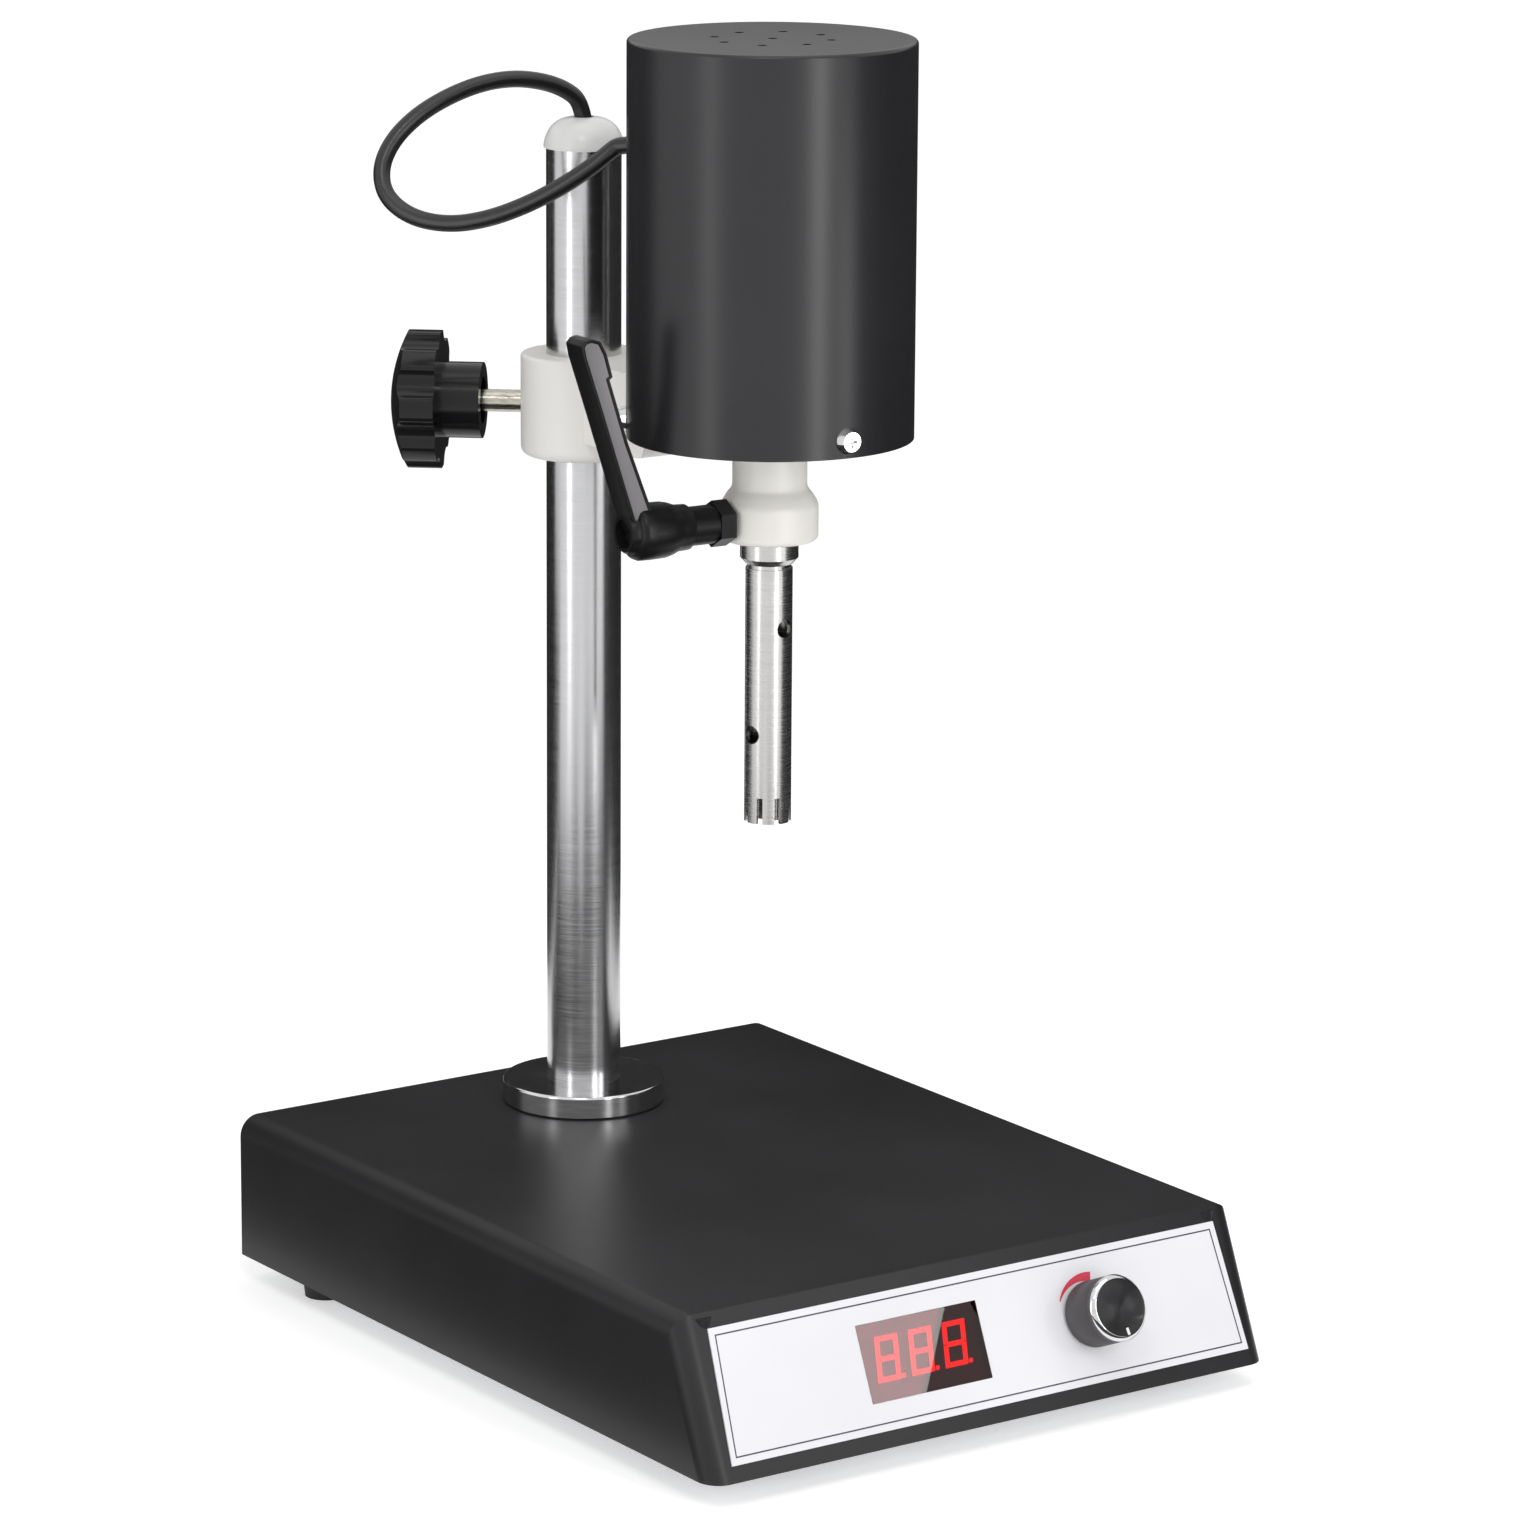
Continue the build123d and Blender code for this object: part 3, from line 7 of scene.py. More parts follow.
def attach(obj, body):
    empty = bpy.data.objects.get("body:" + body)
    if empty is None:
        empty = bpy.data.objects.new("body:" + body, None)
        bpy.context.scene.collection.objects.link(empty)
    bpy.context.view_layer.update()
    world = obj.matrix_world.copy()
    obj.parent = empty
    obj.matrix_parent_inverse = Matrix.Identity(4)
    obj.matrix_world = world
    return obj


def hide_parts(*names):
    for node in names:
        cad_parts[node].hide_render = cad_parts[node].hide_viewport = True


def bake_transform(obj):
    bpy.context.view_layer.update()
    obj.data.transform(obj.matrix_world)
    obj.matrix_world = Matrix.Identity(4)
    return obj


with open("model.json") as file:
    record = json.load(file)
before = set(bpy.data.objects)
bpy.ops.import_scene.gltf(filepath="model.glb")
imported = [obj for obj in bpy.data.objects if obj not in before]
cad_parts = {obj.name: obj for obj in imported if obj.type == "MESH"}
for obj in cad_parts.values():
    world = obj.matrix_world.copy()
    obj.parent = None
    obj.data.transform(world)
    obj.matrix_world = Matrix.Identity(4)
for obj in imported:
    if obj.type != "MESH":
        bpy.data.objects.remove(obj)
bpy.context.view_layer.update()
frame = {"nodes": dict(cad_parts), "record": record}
cadNodes = frame["nodes"]

mm = 0.001
motorY = -13.5 * mm  # motor axis, in front of the column
dialMiddle = (43.95, 26.1)  # dial axis on the panel, in mm: to the right, and down from the crease


# small helpers for modelling

def clearSelection():
    if bpy.context.object and bpy.context.object.mode != "OBJECT":
        bpy.ops.object.mode_set(mode="OBJECT")
    bpy.ops.object.select_all(action="DESELECT")


def activate(obj):
    clearSelection()
    obj.select_set(True)
    bpy.context.view_layer.objects.active = obj


def settle(obj, place=None):
    # puts a finished mesh where it belongs and leaves its object at the origin
    if place is not None:
        obj.matrix_world = place @ obj.matrix_world
        bpy.context.view_layer.update()
    activate(obj)
    bpy.ops.object.transform_apply(location=True, rotation=True, scale=True)
    return obj


def nameNew(name):
    obj = bpy.context.object
    obj.name = name
    obj.data.name = name
    return obj


def pickFaces(obj, test):
    # leaves edit mode open with the faces that pass the test selected
    activate(obj)
    bpy.ops.object.mode_set(mode="EDIT")
    bpy.ops.mesh.select_mode(type="FACE")
    bpy.ops.mesh.select_all(action="DESELECT")
    bpy.ops.object.mode_set(mode="OBJECT")
    for face in obj.data.polygons:
        face.select = test(face)
    bpy.ops.object.mode_set(mode="EDIT")


def pickVerts(obj, test):
    # the same with vertices
    activate(obj)
    bpy.ops.object.mode_set(mode="EDIT")
    bpy.ops.mesh.select_mode(type="VERT")
    bpy.ops.mesh.select_all(action="DESELECT")
    bpy.ops.object.mode_set(mode="OBJECT")
    for vert in obj.data.vertices:
        vert.select = test(vert)
    bpy.ops.object.mode_set(mode="EDIT")


def faceOut(obj):
    activate(obj)
    bpy.ops.object.mode_set(mode="EDIT")
    bpy.ops.mesh.select_all(action="SELECT")
    bpy.ops.mesh.normals_make_consistent(inside=False)
    bpy.ops.object.mode_set(mode="OBJECT")


def thicken(obj, height):
    # gives a flat mesh a thickness along Z
    activate(obj)
    bpy.ops.object.mode_set(mode="EDIT")
    bpy.ops.mesh.select_all(action="SELECT")
    bpy.ops.mesh.extrude_region_move(TRANSFORM_OT_translate={"value": (0, 0, height * mm)})
    faceOut(obj)


def turned(name, rings, sides=96, through=False):
    # a round piece on Z: a filled disc, then one extrude and one resize for each ring of (radius, height)
    # with through, the last ring lies on the first and the piece has a hole all the way
    clearSelection()
    firstRadius, firstHeight = rings[0]
    bpy.ops.mesh.primitive_circle_add(
        vertices=sides, radius=firstRadius * mm, fill_type="NGON", location=(0, 0, firstHeight * mm))
    obj = nameNew(name)
    bpy.ops.object.mode_set(mode="EDIT")
    bpy.ops.mesh.select_all(action="SELECT")
    lastRadius, lastHeight = firstRadius, firstHeight
    for radius, height in rings[1:]:
        bpy.ops.mesh.extrude_region_move(
            TRANSFORM_OT_translate={"value": (0, 0, (height - lastHeight) * mm)})
        grow = radius / lastRadius
        bpy.ops.transform.resize(value=(grow, grow, 1), center_override=(0, 0, height * mm))
        lastRadius, lastHeight = radius, height
    if through:
        pickFaces(obj, lambda f: len(f.vertices) > 4)
        bpy.ops.mesh.delete(type="ONLY_FACE")
        bpy.ops.mesh.select_all(action="SELECT")
        bpy.ops.mesh.remove_doubles(threshold=0.000001)
    faceOut(obj)
    return settle(obj)


def slab(name, outline, low, high):
    # a flat outline in mm, given a thickness along Z
    clearSelection()
    bpy.ops.mesh.primitive_circle_add(vertices=len(outline), radius=mm, fill_type="NGON")
    obj = nameNew(name)
    for vert, (x, y) in zip(obj.data.vertices, outline):
        vert.co = (x * mm, y * mm, low * mm)
    thicken(obj, high - low)
    return obj


def boxOutline(middle, size):
    x, y = middle
    halfX, halfY = size[0] / 2, size[1] / 2
    return [(x - halfX, y - halfY), (x + halfX, y - halfY), (x + halfX, y + halfY), (x - halfX, y + halfY)]


def bevelEdges(obj, width, segments, angle=30):
    modifier = obj.modifiers.new("roundEdges", "BEVEL")
    modifier.width = width * mm
    modifier.segments = segments
    modifier.limit_method = "ANGLE"
    modifier.angle_limit = radians(angle)
    activate(obj)
    bpy.ops.object.modifier_apply(modifier=modifier.name)


def smoothByAngle(obj, angle=40):
    activate(obj)
    bpy.ops.object.shade_smooth_by_angle(angle=radians(angle))


def copyOf(obj, name):
    activate(obj)
    bpy.ops.object.duplicate()
    return nameNew(name)


def joinInto(name, pieces):
    clearSelection()
    for piece in pieces:
        piece.select_set(True)
    bpy.context.view_layer.objects.active = pieces[0]
    bpy.ops.object.join()
    return nameNew(name)


def outwards(centreY, height, azimuth):
    # local +Z points away from an upright axis, local +X points up
    out = Vector((cos(radians(azimuth)), sin(radians(azimuth)), 0))
    up = Vector((0, 0, 1))
    side = out.cross(up)
    return Matrix((
        (up.x, side.x, out.x, 0), (up.y, side.y, out.y, centreY),
        (up.z, side.z, out.z, height * mm), (0, 0, 0, 1)))


panelValues = dict(run=21.1, rise=48.6, creaseY=-120.8, top=56.6)
slope = hypot(panelValues["run"], panelValues["rise"])
panelUp = Vector((0, panelValues["run"] / slope, panelValues["rise"] / slope))
panelOut = Vector((0, -panelUp.z, panelUp.y))


def onPanel(x, down, lift=0.0):
    # local X runs to the right, Y up the slope, Z out of the panel; x, down and lift are in mm
    spot = Vector((x * mm, panelValues["creaseY"] * mm, panelValues["top"] * mm))
    spot = spot - panelUp * down * mm + panelOut * lift * mm
    return Matrix((
        (1, panelUp.x, panelOut.x, spot.x), (0, panelUp.y, panelOut.y, spot.y),
        (0, panelUp.z, panelOut.z, spot.z), (0, 0, 0, 1)))


# camera at the photograph's angle

cameraValues = dict(
    place=(-1.14918, -1.65179, 0.66850), turn=(76.7297, -0.3601, -34.8811), lens=151.1, sensor=36, reach=60)
cameraData = bpy.data.cameras.new("camera")
cameraData.lens = cameraValues["lens"]
cameraData.sensor_width = cameraValues["sensor"]
cameraData.sensor_fit = "HORIZONTAL"
cameraData.clip_end = cameraValues["reach"]
camera = bpy.data.objects.new("camera", cameraData)
bpy.context.scene.collection.objects.link(camera)
camera.location = cameraValues["place"]
camera.rotation_euler = [radians(a) for a in cameraValues["turn"]]
bpy.context.scene.camera = camera
bpy.context.scene.view_settings.view_transform = "Standard"
print("camera placed")


# motor cable: out of the column cap, round in a loop and into the can

cableValues = dict(
    diameter=0.0056, order=3, resolution=8, roundness=5,
    points=[
        (0, 0.0945, 0.3911), (-0.0012, 0.0945, 0.3976), (-0.0064, 0.0956, 0.4019),
        (-0.0142, 0.0968, 0.4049), (-0.0240, 0.0992, 0.4064), (-0.0350, 0.1016, 0.4053),
        (-0.0465, 0.1040, 0.4015), (-0.0575, 0.1062, 0.3956), (-0.0664, 0.1072, 0.3878),
        (-0.0718, 0.1059, 0.3789), (-0.0726, 0.1010, 0.3704), (-0.0676, 0.0926, 0.3644),
        (-0.0600, 0.0820, 0.3630), (-0.0524, 0.0712, 0.3656), (-0.0456, 0.0604, 0.3706),
        (-0.0390, 0.0506, 0.3768), (-0.0326, 0.0426, 0.3836), (-0.0284, 0.0369, 0.3893),
        (-0.02563, 0.03471, 0.3923), (-0.02197, 0.02782, 0.3923)])

routeData = bpy.data.curves.new("cableRoute", "CURVE")
routeData.dimensions = "3D"
routeData.resolution_u = cableValues["resolution"]
route = routeData.splines.new("NURBS")
route.points.add(len(cableValues["points"]) - 1)
for point, spot in zip(route.points, cableValues["points"]):
    point.co = (*spot, 1)
route.order_u = cableValues["order"]
route.use_endpoint_u = True
routeObject = bpy.data.objects.new("cableRoute", routeData)
bpy.context.scene.collection.objects.link(routeObject)
bpy.context.view_layer.update()
line = bpy.data.meshes.new_from_object(routeObject.evaluated_get(bpy.context.evaluated_depsgraph_get()))
routeData.bevel_depth = cableValues["diameter"] / 2
routeData.bevel_resolution = cableValues["roundness"]
routeData.use_fill_caps = True
activate(routeObject)
bpy.ops.object.convert(target="MESH")
motorCable = nameNew("motorCable")
bpy.ops.object.shade_smooth()
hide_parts("motor_cable")
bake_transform(motorCable)


# shared surface effects, as node groups

def newGroup(name, inputs, outputs):
    group = bpy.data.node_groups.new(name, "ShaderNodeTree")
    for label, kind, value in inputs:
        socket = group.interface.new_socket(name=label, in_out="INPUT", socket_type=kind)
        socket.default_value = value
    for label, kind in outputs:
        group.interface.new_socket(name=label, in_out="OUTPUT", socket_type=kind)
    enter = group.nodes.new("NodeGroupInput")
    leave = group.nodes.new("NodeGroupOutput")
    return group, enter, leave


def mathNode(tree, operation, a, b):
    node = tree.nodes.new("ShaderNodeMath")
    node.operation = operation
    for socket, value in zip(node.inputs, (a, b)):
        if isinstance(value, (int, float)):
            socket.default_value = value
        else:
            tree.links.new(value, socket)
    return node.outputs[0]


# grain: soft mottling and a fine bump, for paint and moulded plastic
grainGroup, grainIn, grainOut = newGroup(
    "surfaceGrain",
    [("Size", "NodeSocketFloat", 900.0), ("Mottle Size", "NodeSocketFloat", 14.0)],
    [("Mottle", "NodeSocketFloat"), ("Height", "NodeSocketFloat")])
grainPlace = grainGroup.nodes.new("ShaderNodeTexCoord")
fine = grainGroup.nodes.new("ShaderNodeTexNoise")
fine.inputs["Detail"].default_value = 3.0
broad = grainGroup.nodes.new("ShaderNodeTexNoise")
broad.inputs["Detail"].default_value = 2.0
grainGroup.links.new(grainPlace.outputs["Object"], fine.inputs["Vector"])
grainGroup.links.new(grainPlace.outputs["Object"], broad.inputs["Vector"])
grainGroup.links.new(grainIn.outputs["Size"], fine.inputs["Scale"])
grainGroup.links.new(grainIn.outputs["Mottle Size"], broad.inputs["Scale"])
grainGroup.links.new(broad.outputs["Fac"], grainOut.inputs["Mottle"])
grainGroup.links.new(fine.outputs["Fac"], grainOut.inputs["Height"])

# turning: lines left by a lathe or a polishing belt, drawn out along one direction
turningGroup, turningIn, turningOut = newGroup(
    "turningLines",
    [("Stretch", "NodeSocketVector", (40.0, 40.0, 4000.0))],
    [("Shade", "NodeSocketFloat"), ("Height", "NodeSocketFloat")])
turningPlace = turningGroup.nodes.new("ShaderNodeTexCoord")
stretch = turningGroup.nodes.new("ShaderNodeVectorMath")
stretch.operation = "MULTIPLY"
lines = turningGroup.nodes.new("ShaderNodeTexNoise")
lines.inputs["Scale"].default_value = 1.0
lines.inputs["Detail"].default_value = 4.0
turningGroup.links.new(turningPlace.outputs["Object"], stretch.inputs[0])
turningGroup.links.new(turningIn.outputs["Stretch"], stretch.inputs[1])
turningGroup.links.new(stretch.outputs["Vector"], lines.inputs["Vector"])
turningGroup.links.new(lines.outputs["Fac"], turningOut.inputs["Shade"])
turningGroup.links.new(lines.outputs["Fac"], turningOut.inputs["Height"])

noiseLow, noiseHigh = 0.3, 0.7  # most of the noise lies between these
grainDepth, lineDepth = 0.0002, 0.0001


def newMaterial(name, colour, roughness, metallic=0.0):
    material = bpy.data.materials.new(name)
    material.use_nodes = True
    shader = material.node_tree.nodes["Principled BSDF"]
    shader.inputs["Base Color"].default_value = (*colour, 1)
    shader.inputs["Roughness"].default_value = roughness
    shader.inputs["Metallic"].default_value = metallic
    material.diffuse_color = (*colour, 1)
    return material, material.node_tree, shader


def tintBetween(tree, shader, mask, dark, light):
    ramp = tree.nodes.new("ShaderNodeValToRGB")
    ramp.color_ramp.elements[0].position = noiseLow
    ramp.color_ramp.elements[1].position = noiseHigh
    ramp.color_ramp.elements[0].color = (*dark, 1)
    ramp.color_ramp.elements[1].color = (*light, 1)
    tree.links.new(mask, ramp.inputs["Fac"])
    tree.links.new(ramp.outputs["Color"], shader.inputs["Base Color"])


def bumpFrom(tree, shader, height, strength, distance):
    bump = tree.nodes.new("ShaderNodeBump")
    bump.inputs["Strength"].default_value = strength
    bump.inputs["Distance"].default_value = distance
    tree.links.new(height, bump.inputs["Height"])
    tree.links.new(bump.outputs["Normal"], shader.inputs["Normal"])


def rangeTo(tree, source, low, high, target):
    node = tree.nodes.new("ShaderNodeMapRange")
    node.inputs["From Min"].default_value = noiseLow
    node.inputs["From Max"].default_value = noiseHigh
    node.inputs["To Min"].default_value = low
    node.inputs["To Max"].default_value = high
    tree.links.new(source, node.inputs["Value"])
    tree.links.new(node.outputs["Result"], target)


def grained(name, dark, light, rough, size=900.0, mottle=14.0, bump=0.08, metallic=0.0, level=0.5):
    # paint, rubber and moulded plastic
    material, tree, shader = newMaterial(name, light, rough[0], metallic)
    shader.inputs["Specular IOR Level"].default_value = level
    grain = tree.nodes.new("ShaderNodeGroup")
    grain.node_tree = grainGroup
    grain.inputs["Size"].default_value = size
    grain.inputs["Mottle Size"].default_value = mottle
    tintBetween(tree, shader, grain.outputs["Mottle"], dark, light)
    rangeTo(tree, grain.outputs["Mottle"], rough[0], rough[1], shader.inputs["Roughness"])
    bumpFrom(tree, shader, grain.outputs["Height"], bump, grainDepth)
    return material


def machined(name, dark, light, rough, stretch, bump=0.06):
    # turned, ground and plated metal
    material, tree, shader = newMaterial(name, light, rough[0], 1.0)
    turning = tree.nodes.new("ShaderNodeGroup")
    turning.node_tree = turningGroup
    turning.inputs["Stretch"].default_value = stretch
    tintBetween(tree, shader, turning.outputs["Shade"], dark, light)
    rangeTo(tree, turning.outputs["Shade"], rough[0], rough[1], shader.inputs["Roughness"])
    bumpFrom(tree, shader, turning.outputs["Height"], bump, lineDepth)
    return material


# each finish: darker tint, lighter tint, range of roughness, then its grain or its turning lines
basePaint = grained("basePaint", (0.012, 0.0115, 0.013), (0.016, 0.015, 0.017), (0.36, 0.42),
                    size=1400, bump=0.10, level=0.34)
canPaint = grained("canPaint", (0.013, 0.0125, 0.0145), (0.017, 0.0165, 0.019), (0.30, 0.34),
                   size=1600, bump=0.05, level=0.42)
labelFilm = grained("labelFilm", (0.72, 0.715, 0.745), (0.77, 0.765, 0.795), (0.38, 0.44),
                    size=2500, bump=0.02)
warmPaint = grained("warmPaint", (0.81, 0.79, 0.76), (0.85, 0.83, 0.80), (0.38, 0.46),
                    size=1200, bump=0.06)
warmPlastic = grained("warmPlastic", (0.78, 0.76, 0.71), (0.84, 0.82, 0.77), (0.32, 0.40),
                      size=1500, bump=0.04)
capPlastic = grained("capPlastic", (0.74, 0.74, 0.73), (0.80, 0.80, 0.79), (0.25, 0.30),
                     size=1500, bump=0.02)
glossBlack = grained("glossBlack", (0.005, 0.005, 0.006), (0.008, 0.008, 0.009), (0.12, 0.18),
                     size=700, bump=0.03, level=0.28)
leverPlastic = grained("leverPlastic", (0.005, 0.005, 0.005), (0.008, 0.008, 0.008), (0.30, 0.38),
                       size=2200, bump=0.12, level=0.22)
blackPlastic = grained("blackPlastic", (0.012, 0.012, 0.012), (0.018, 0.018, 0.018), (0.45, 0.55),
                       size=1800, bump=0.15)
footRubber = grained("footRubber", (0.014, 0.014, 0.014), (0.022, 0.022, 0.022), (0.70, 0.80),
                     size=1500, bump=0.20)
cableRubber = grained("cableRubber", (0.008, 0.008, 0.009), (0.014, 0.014, 0.015), (0.28, 0.36),
                      size=1200, bump=0.05)
boardMask = grained("boardMask", (0.008, 0.07, 0.03), (0.012, 0.10, 0.04), (0.35, 0.5),
                    size=600, bump=0.1)
copperWire = grained("copperWire", (0.42, 0.15, 0.06), (0.62, 0.26, 0.12), (0.30, 0.42),
                     size=500, bump=0.3, metallic=1.0)
coreIron = machined("coreIron", (0.16, 0.16, 0.17), (0.24, 0.24, 0.25), (0.45, 0.6),
                    (60, 60, 2500), bump=0.3)
bushPlastic = grained("bushPlastic", (0.70, 0.70, 0.68), (0.78, 0.78, 0.76), (0.45, 0.5))
chromePlate = machined("chromePlate", (0.60, 0.60, 0.61), (0.72, 0.72, 0.73), (0.08, 0.16),
                       (120, 120, 900), bump=0.02)
polishedSteel = machined("polishedSteel", (0.50, 0.50, 0.51), (0.60, 0.60, 0.61), (0.18, 0.26),
                         (60, 60, 3000), bump=0.05)
stainless = machined("stainless", (0.50, 0.49, 0.48), (0.62, 0.61, 0.60), (0.20, 0.30),
                     (80, 80, 4000), bump=0.06)
zincSteel = machined("zincSteel", (0.42, 0.43, 0.45), (0.55, 0.56, 0.58), (0.30, 0.40),
                     (90, 700, 700), bump=0.05)
lightAlloy = machined("lightAlloy", (0.55, 0.55, 0.56), (0.68, 0.68, 0.69), (0.32, 0.42),
                      (150, 150, 2500), bump=0.06)
studBrass = machined("studBrass", (0.38, 0.36, 0.31), (0.56, 0.54, 0.47), (0.16, 0.26),
                     (300, 300, 2500), bump=0.2)

glassValues = dict(colour=(0.50, 0.015, 0.025), roughness=0.0, transmission=1.0, ior=1.45)
redGlass, _, redShader = newMaterial("redGlass", glassValues["colour"], glassValues["roughness"])
redShader.inputs["Transmission Weight"].default_value = glassValues["transmission"]
redShader.inputs["IOR"].default_value = glassValues["ior"]

litValues = dict(colour=(0.9, 0.05, 0.04), roughness=0.4, glow=(1.0, 0.03, 0.02, 1), strength=1.9)
litSegments, _, litShader = newMaterial("litSegments", litValues["colour"], litValues["roughness"])
litShader.inputs["Emission Color"].default_value = litValues["glow"]
litShader.inputs["Emission Strength"].default_value = litValues["strength"]

arcRed = grained("arcRed", (0.62, 0.02, 0.06), (0.70, 0.035, 0.08), (0.4, 0.45),
                 size=2500, bump=0.02)
lineInk = grained("lineInk", (0.03, 0.03, 0.05), (0.05, 0.05, 0.07), (0.45, 0.5),
                  size=2500, bump=0.02)
windowBlack = grained("windowBlack", (0.002, 0.001, 0.001), (0.004, 0.002, 0.002), (0.5, 0.6),
                      size=900, bump=0.05, level=0.1)
# lighter grey for the lever's sunk faces: a painted sheen, standing in for the pale floor's reflection on the dark
# plastic
leverFacePaintedSheen = grained("leverFacePaintedSheen", (0.14, 0.135, 0.14), (0.19, 0.18, 0.19), (0.38, 0.46),
                    size=2600, bump=0.22)
dialBlack = grained("dialBlack", (0.050, 0.046, 0.050), (0.080, 0.074, 0.078), (0.34, 0.42),
                    size=1800, bump=0.12, level=0.4)
pointerWhite = grained("pointerWhite", (0.72, 0.72, 0.72), (0.80, 0.80, 0.80), (0.35, 0.42),
                       size=1800, bump=0.03)

# spun face of the dial: fine rings round its own middle
spunValues = dict(colour=(0.03, 0.03, 0.032), roughness=0.26, metallic=0.6, rings=900.0, bump=0.55,
                  rough=(0.22, 0.34))
spunBlack, spunTree, spunShader = newMaterial(
    "spunBlack", spunValues["colour"], spunValues["roughness"], spunValues["metallic"])
spunPlace = spunTree.nodes.new("ShaderNodeTexCoord")
spunTurn = spunTree.nodes.new("ShaderNodeMapping")
spunTurn.vector_type = "TEXTURE"
spunFrame = onPanel(*dialMiddle)
spunTurn.inputs["Location"].default_value = spunFrame.to_translation()
spunTurn.inputs["Rotation"].default_value = spunFrame.to_euler()
spunWave = spunTree.nodes.new("ShaderNodeTexWave")
spunWave.wave_type = "RINGS"
spunWave.rings_direction = "Z"
spunWave.inputs["Scale"].default_value = spunValues["rings"]
spunTree.links.new(spunPlace.outputs["Object"], spunTurn.inputs["Vector"])
spunTree.links.new(spunTurn.outputs["Vector"], spunWave.inputs["Vector"])
bumpFrom(spunTree, spunShader, spunWave.outputs["Fac"], spunValues["bump"], lineDepth)
rangeTo(spunTree, spunWave.outputs["Fac"], *spunValues["rough"], spunShader.inputs["Roughness"])

slotMaterials = dict(
    base_paint=basePaint, label_film=labelFilm, red_window=redGlass, led_digits=blackPlastic,
    circuit_board=boardMask, zinc_steel=zincSteel, foot_rubber=footRubber, black_plastic=blackPlastic,
    dial_plastic=blackPlastic, bright_chrome=chromePlate, polished_steel=polishedSteel, core_iron=coreIron,
    cap_plastic=capPlastic, cable_rubber=cableRubber, warm_white_paint=warmPaint,
    warm_white_plastic=warmPlastic, can_paint=canPaint, light_alloy=lightAlloy, copper_wire=copperWire,
    stud_brass=studBrass, gloss_black=glossBlack, lever_plastic=leverPlastic, stainless=stainless,
    bush_plastic=bushPlastic)
for entry in frame["record"]["subparts"]:
    node = cadNodes[entry["node"]]
    for materialSlot in node.material_slots:
        materialSlot.material = slotMaterials[entry["material_slot"]]


def dress(obj, material, body, replaced=()):
    # gives a finished piece its material and its body, and hides the parts it replaces
    obj.data.materials.clear()
    obj.data.materials.append(material)
    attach(obj, body)
    if replaced:
        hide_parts(*replaced)


motorCable.data.materials.clear()
motorCable.data.materials.append(cableRubber)
print("materials made")


# label: thin printed border line and the tapered arc round the dial

borderValues = dict(
    halfTop=96.9, halfBottom=99.2, shift=0.8, top=7.4, bottom=45.5, width=0.45, thick=0.03, plate=0.5)
clearSelection()
bpy.ops.mesh.primitive_plane_add(size=1)
border = nameNew("labelBorder")
for vert in border.data.vertices:
    side = 1 if vert.co.x > 0 else -1
    level = "Top" if vert.co.y > 0 else "Bottom"
    vert.co = ((side * borderValues["half" + level] + borderValues["shift"]) * mm,
               -borderValues[level.lower()] * mm, 0)
bpy.ops.object.mode_set(mode="EDIT")
bpy.ops.mesh.select_all(action="SELECT")
bpy.ops.mesh.inset(thickness=borderValues["width"] * mm, depth=0)
bpy.ops.mesh.delete(type="ONLY_FACE")
thicken(border, borderValues["thick"])
settle(border, onPanel(0, 0, borderValues["plate"]))
dress(border, lineInk, "base")

# the arc starts as one edge of a plane, is spun round the dial and then widened along its turn
arcValues = dict(start=150.5, end=75.5, steps=30, thin=(12.1, 12.5), thick=(10.54, 13.77), lift=0.5,
                 thickness=0.04)
arcSpan = arcValues["start"] - arcValues["end"]
clearSelection()
bpy.ops.mesh.primitive_plane_add(size=1)
arc = nameNew("speedArc")
pickVerts(arc, lambda v: v.co.x < 0)
bpy.ops.mesh.delete(type="VERT")
bpy.ops.object.mode_set(mode="OBJECT")
for vert in arc.data.vertices:
    reach = arcValues["thin"][1 if vert.co.y > 0 else 0]
    vert.co = (reach * cos(radians(arcValues["start"])) * mm, reach * sin(radians(arcValues["start"])) * mm, 0)
bpy.ops.object.mode_set(mode="EDIT")
bpy.ops.mesh.select_all(action="SELECT")
bpy.ops.mesh.spin(steps=arcValues["steps"], angle=radians(arcSpan), center=(0, 0, 0), axis=(0, 0, 1))
bpy.ops.object.mode_set(mode="OBJECT")
middleReach = sum(arcValues["thin"]) / 2 * mm
for vert in arc.data.vertices:
    turn = abs(degrees(atan2(vert.co.y, vert.co.x)))
    along = (arcValues["start"] - turn) / arcSpan
    side = 0 if hypot(vert.co.x, vert.co.y) < middleReach else 1
    reach = arcValues["thin"][side] + (arcValues["thick"][side] - arcValues["thin"][side]) * along
    vert.co = (reach * cos(radians(turn)) * mm, reach * sin(radians(turn)) * mm, 0)
thicken(arc, arcValues["thickness"])
settle(arc, onPanel(*dialMiddle, arcValues["lift"]))
dress(arc, arcRed, "base")
print("label drawn")


# display: a dark block with a mask, three lit figures and their points, behind the red window

displayValues = dict(
    block=(37.6, 19.0), blockMiddle=(-20.8, -26.3), blockRound=0.4, back=-10.5,
    mask=(49.6, 28.0), maskMiddle=(-21.8, -26.3), maskRound=0.1, maskBack=-3.3, face=-2.95,
    width=8.7, height=14.3, stroke=1.65, gap=0.12, slant=8.7, lefts=(-37.5, -24.5, -11.5), down=18.5,
    raised=0.3, dotRadius=0.75, dotRight=1.15, dotUp=0.9, dotSides=16)
blockBody = slab("displayBlock", boxOutline(displayValues["blockMiddle"], displayValues["block"]),
                 displayValues["back"], displayValues["maskBack"])
blockMask = slab("displayMask", boxOutline(displayValues["maskMiddle"], displayValues["mask"]),
                 displayValues["maskBack"], displayValues["face"])
bevelEdges(blockBody, displayValues["blockRound"], 2)
bevelEdges(blockMask, displayValues["maskRound"], 1)
displayBlock = joinInto("displayBlock", [blockBody, blockMask])
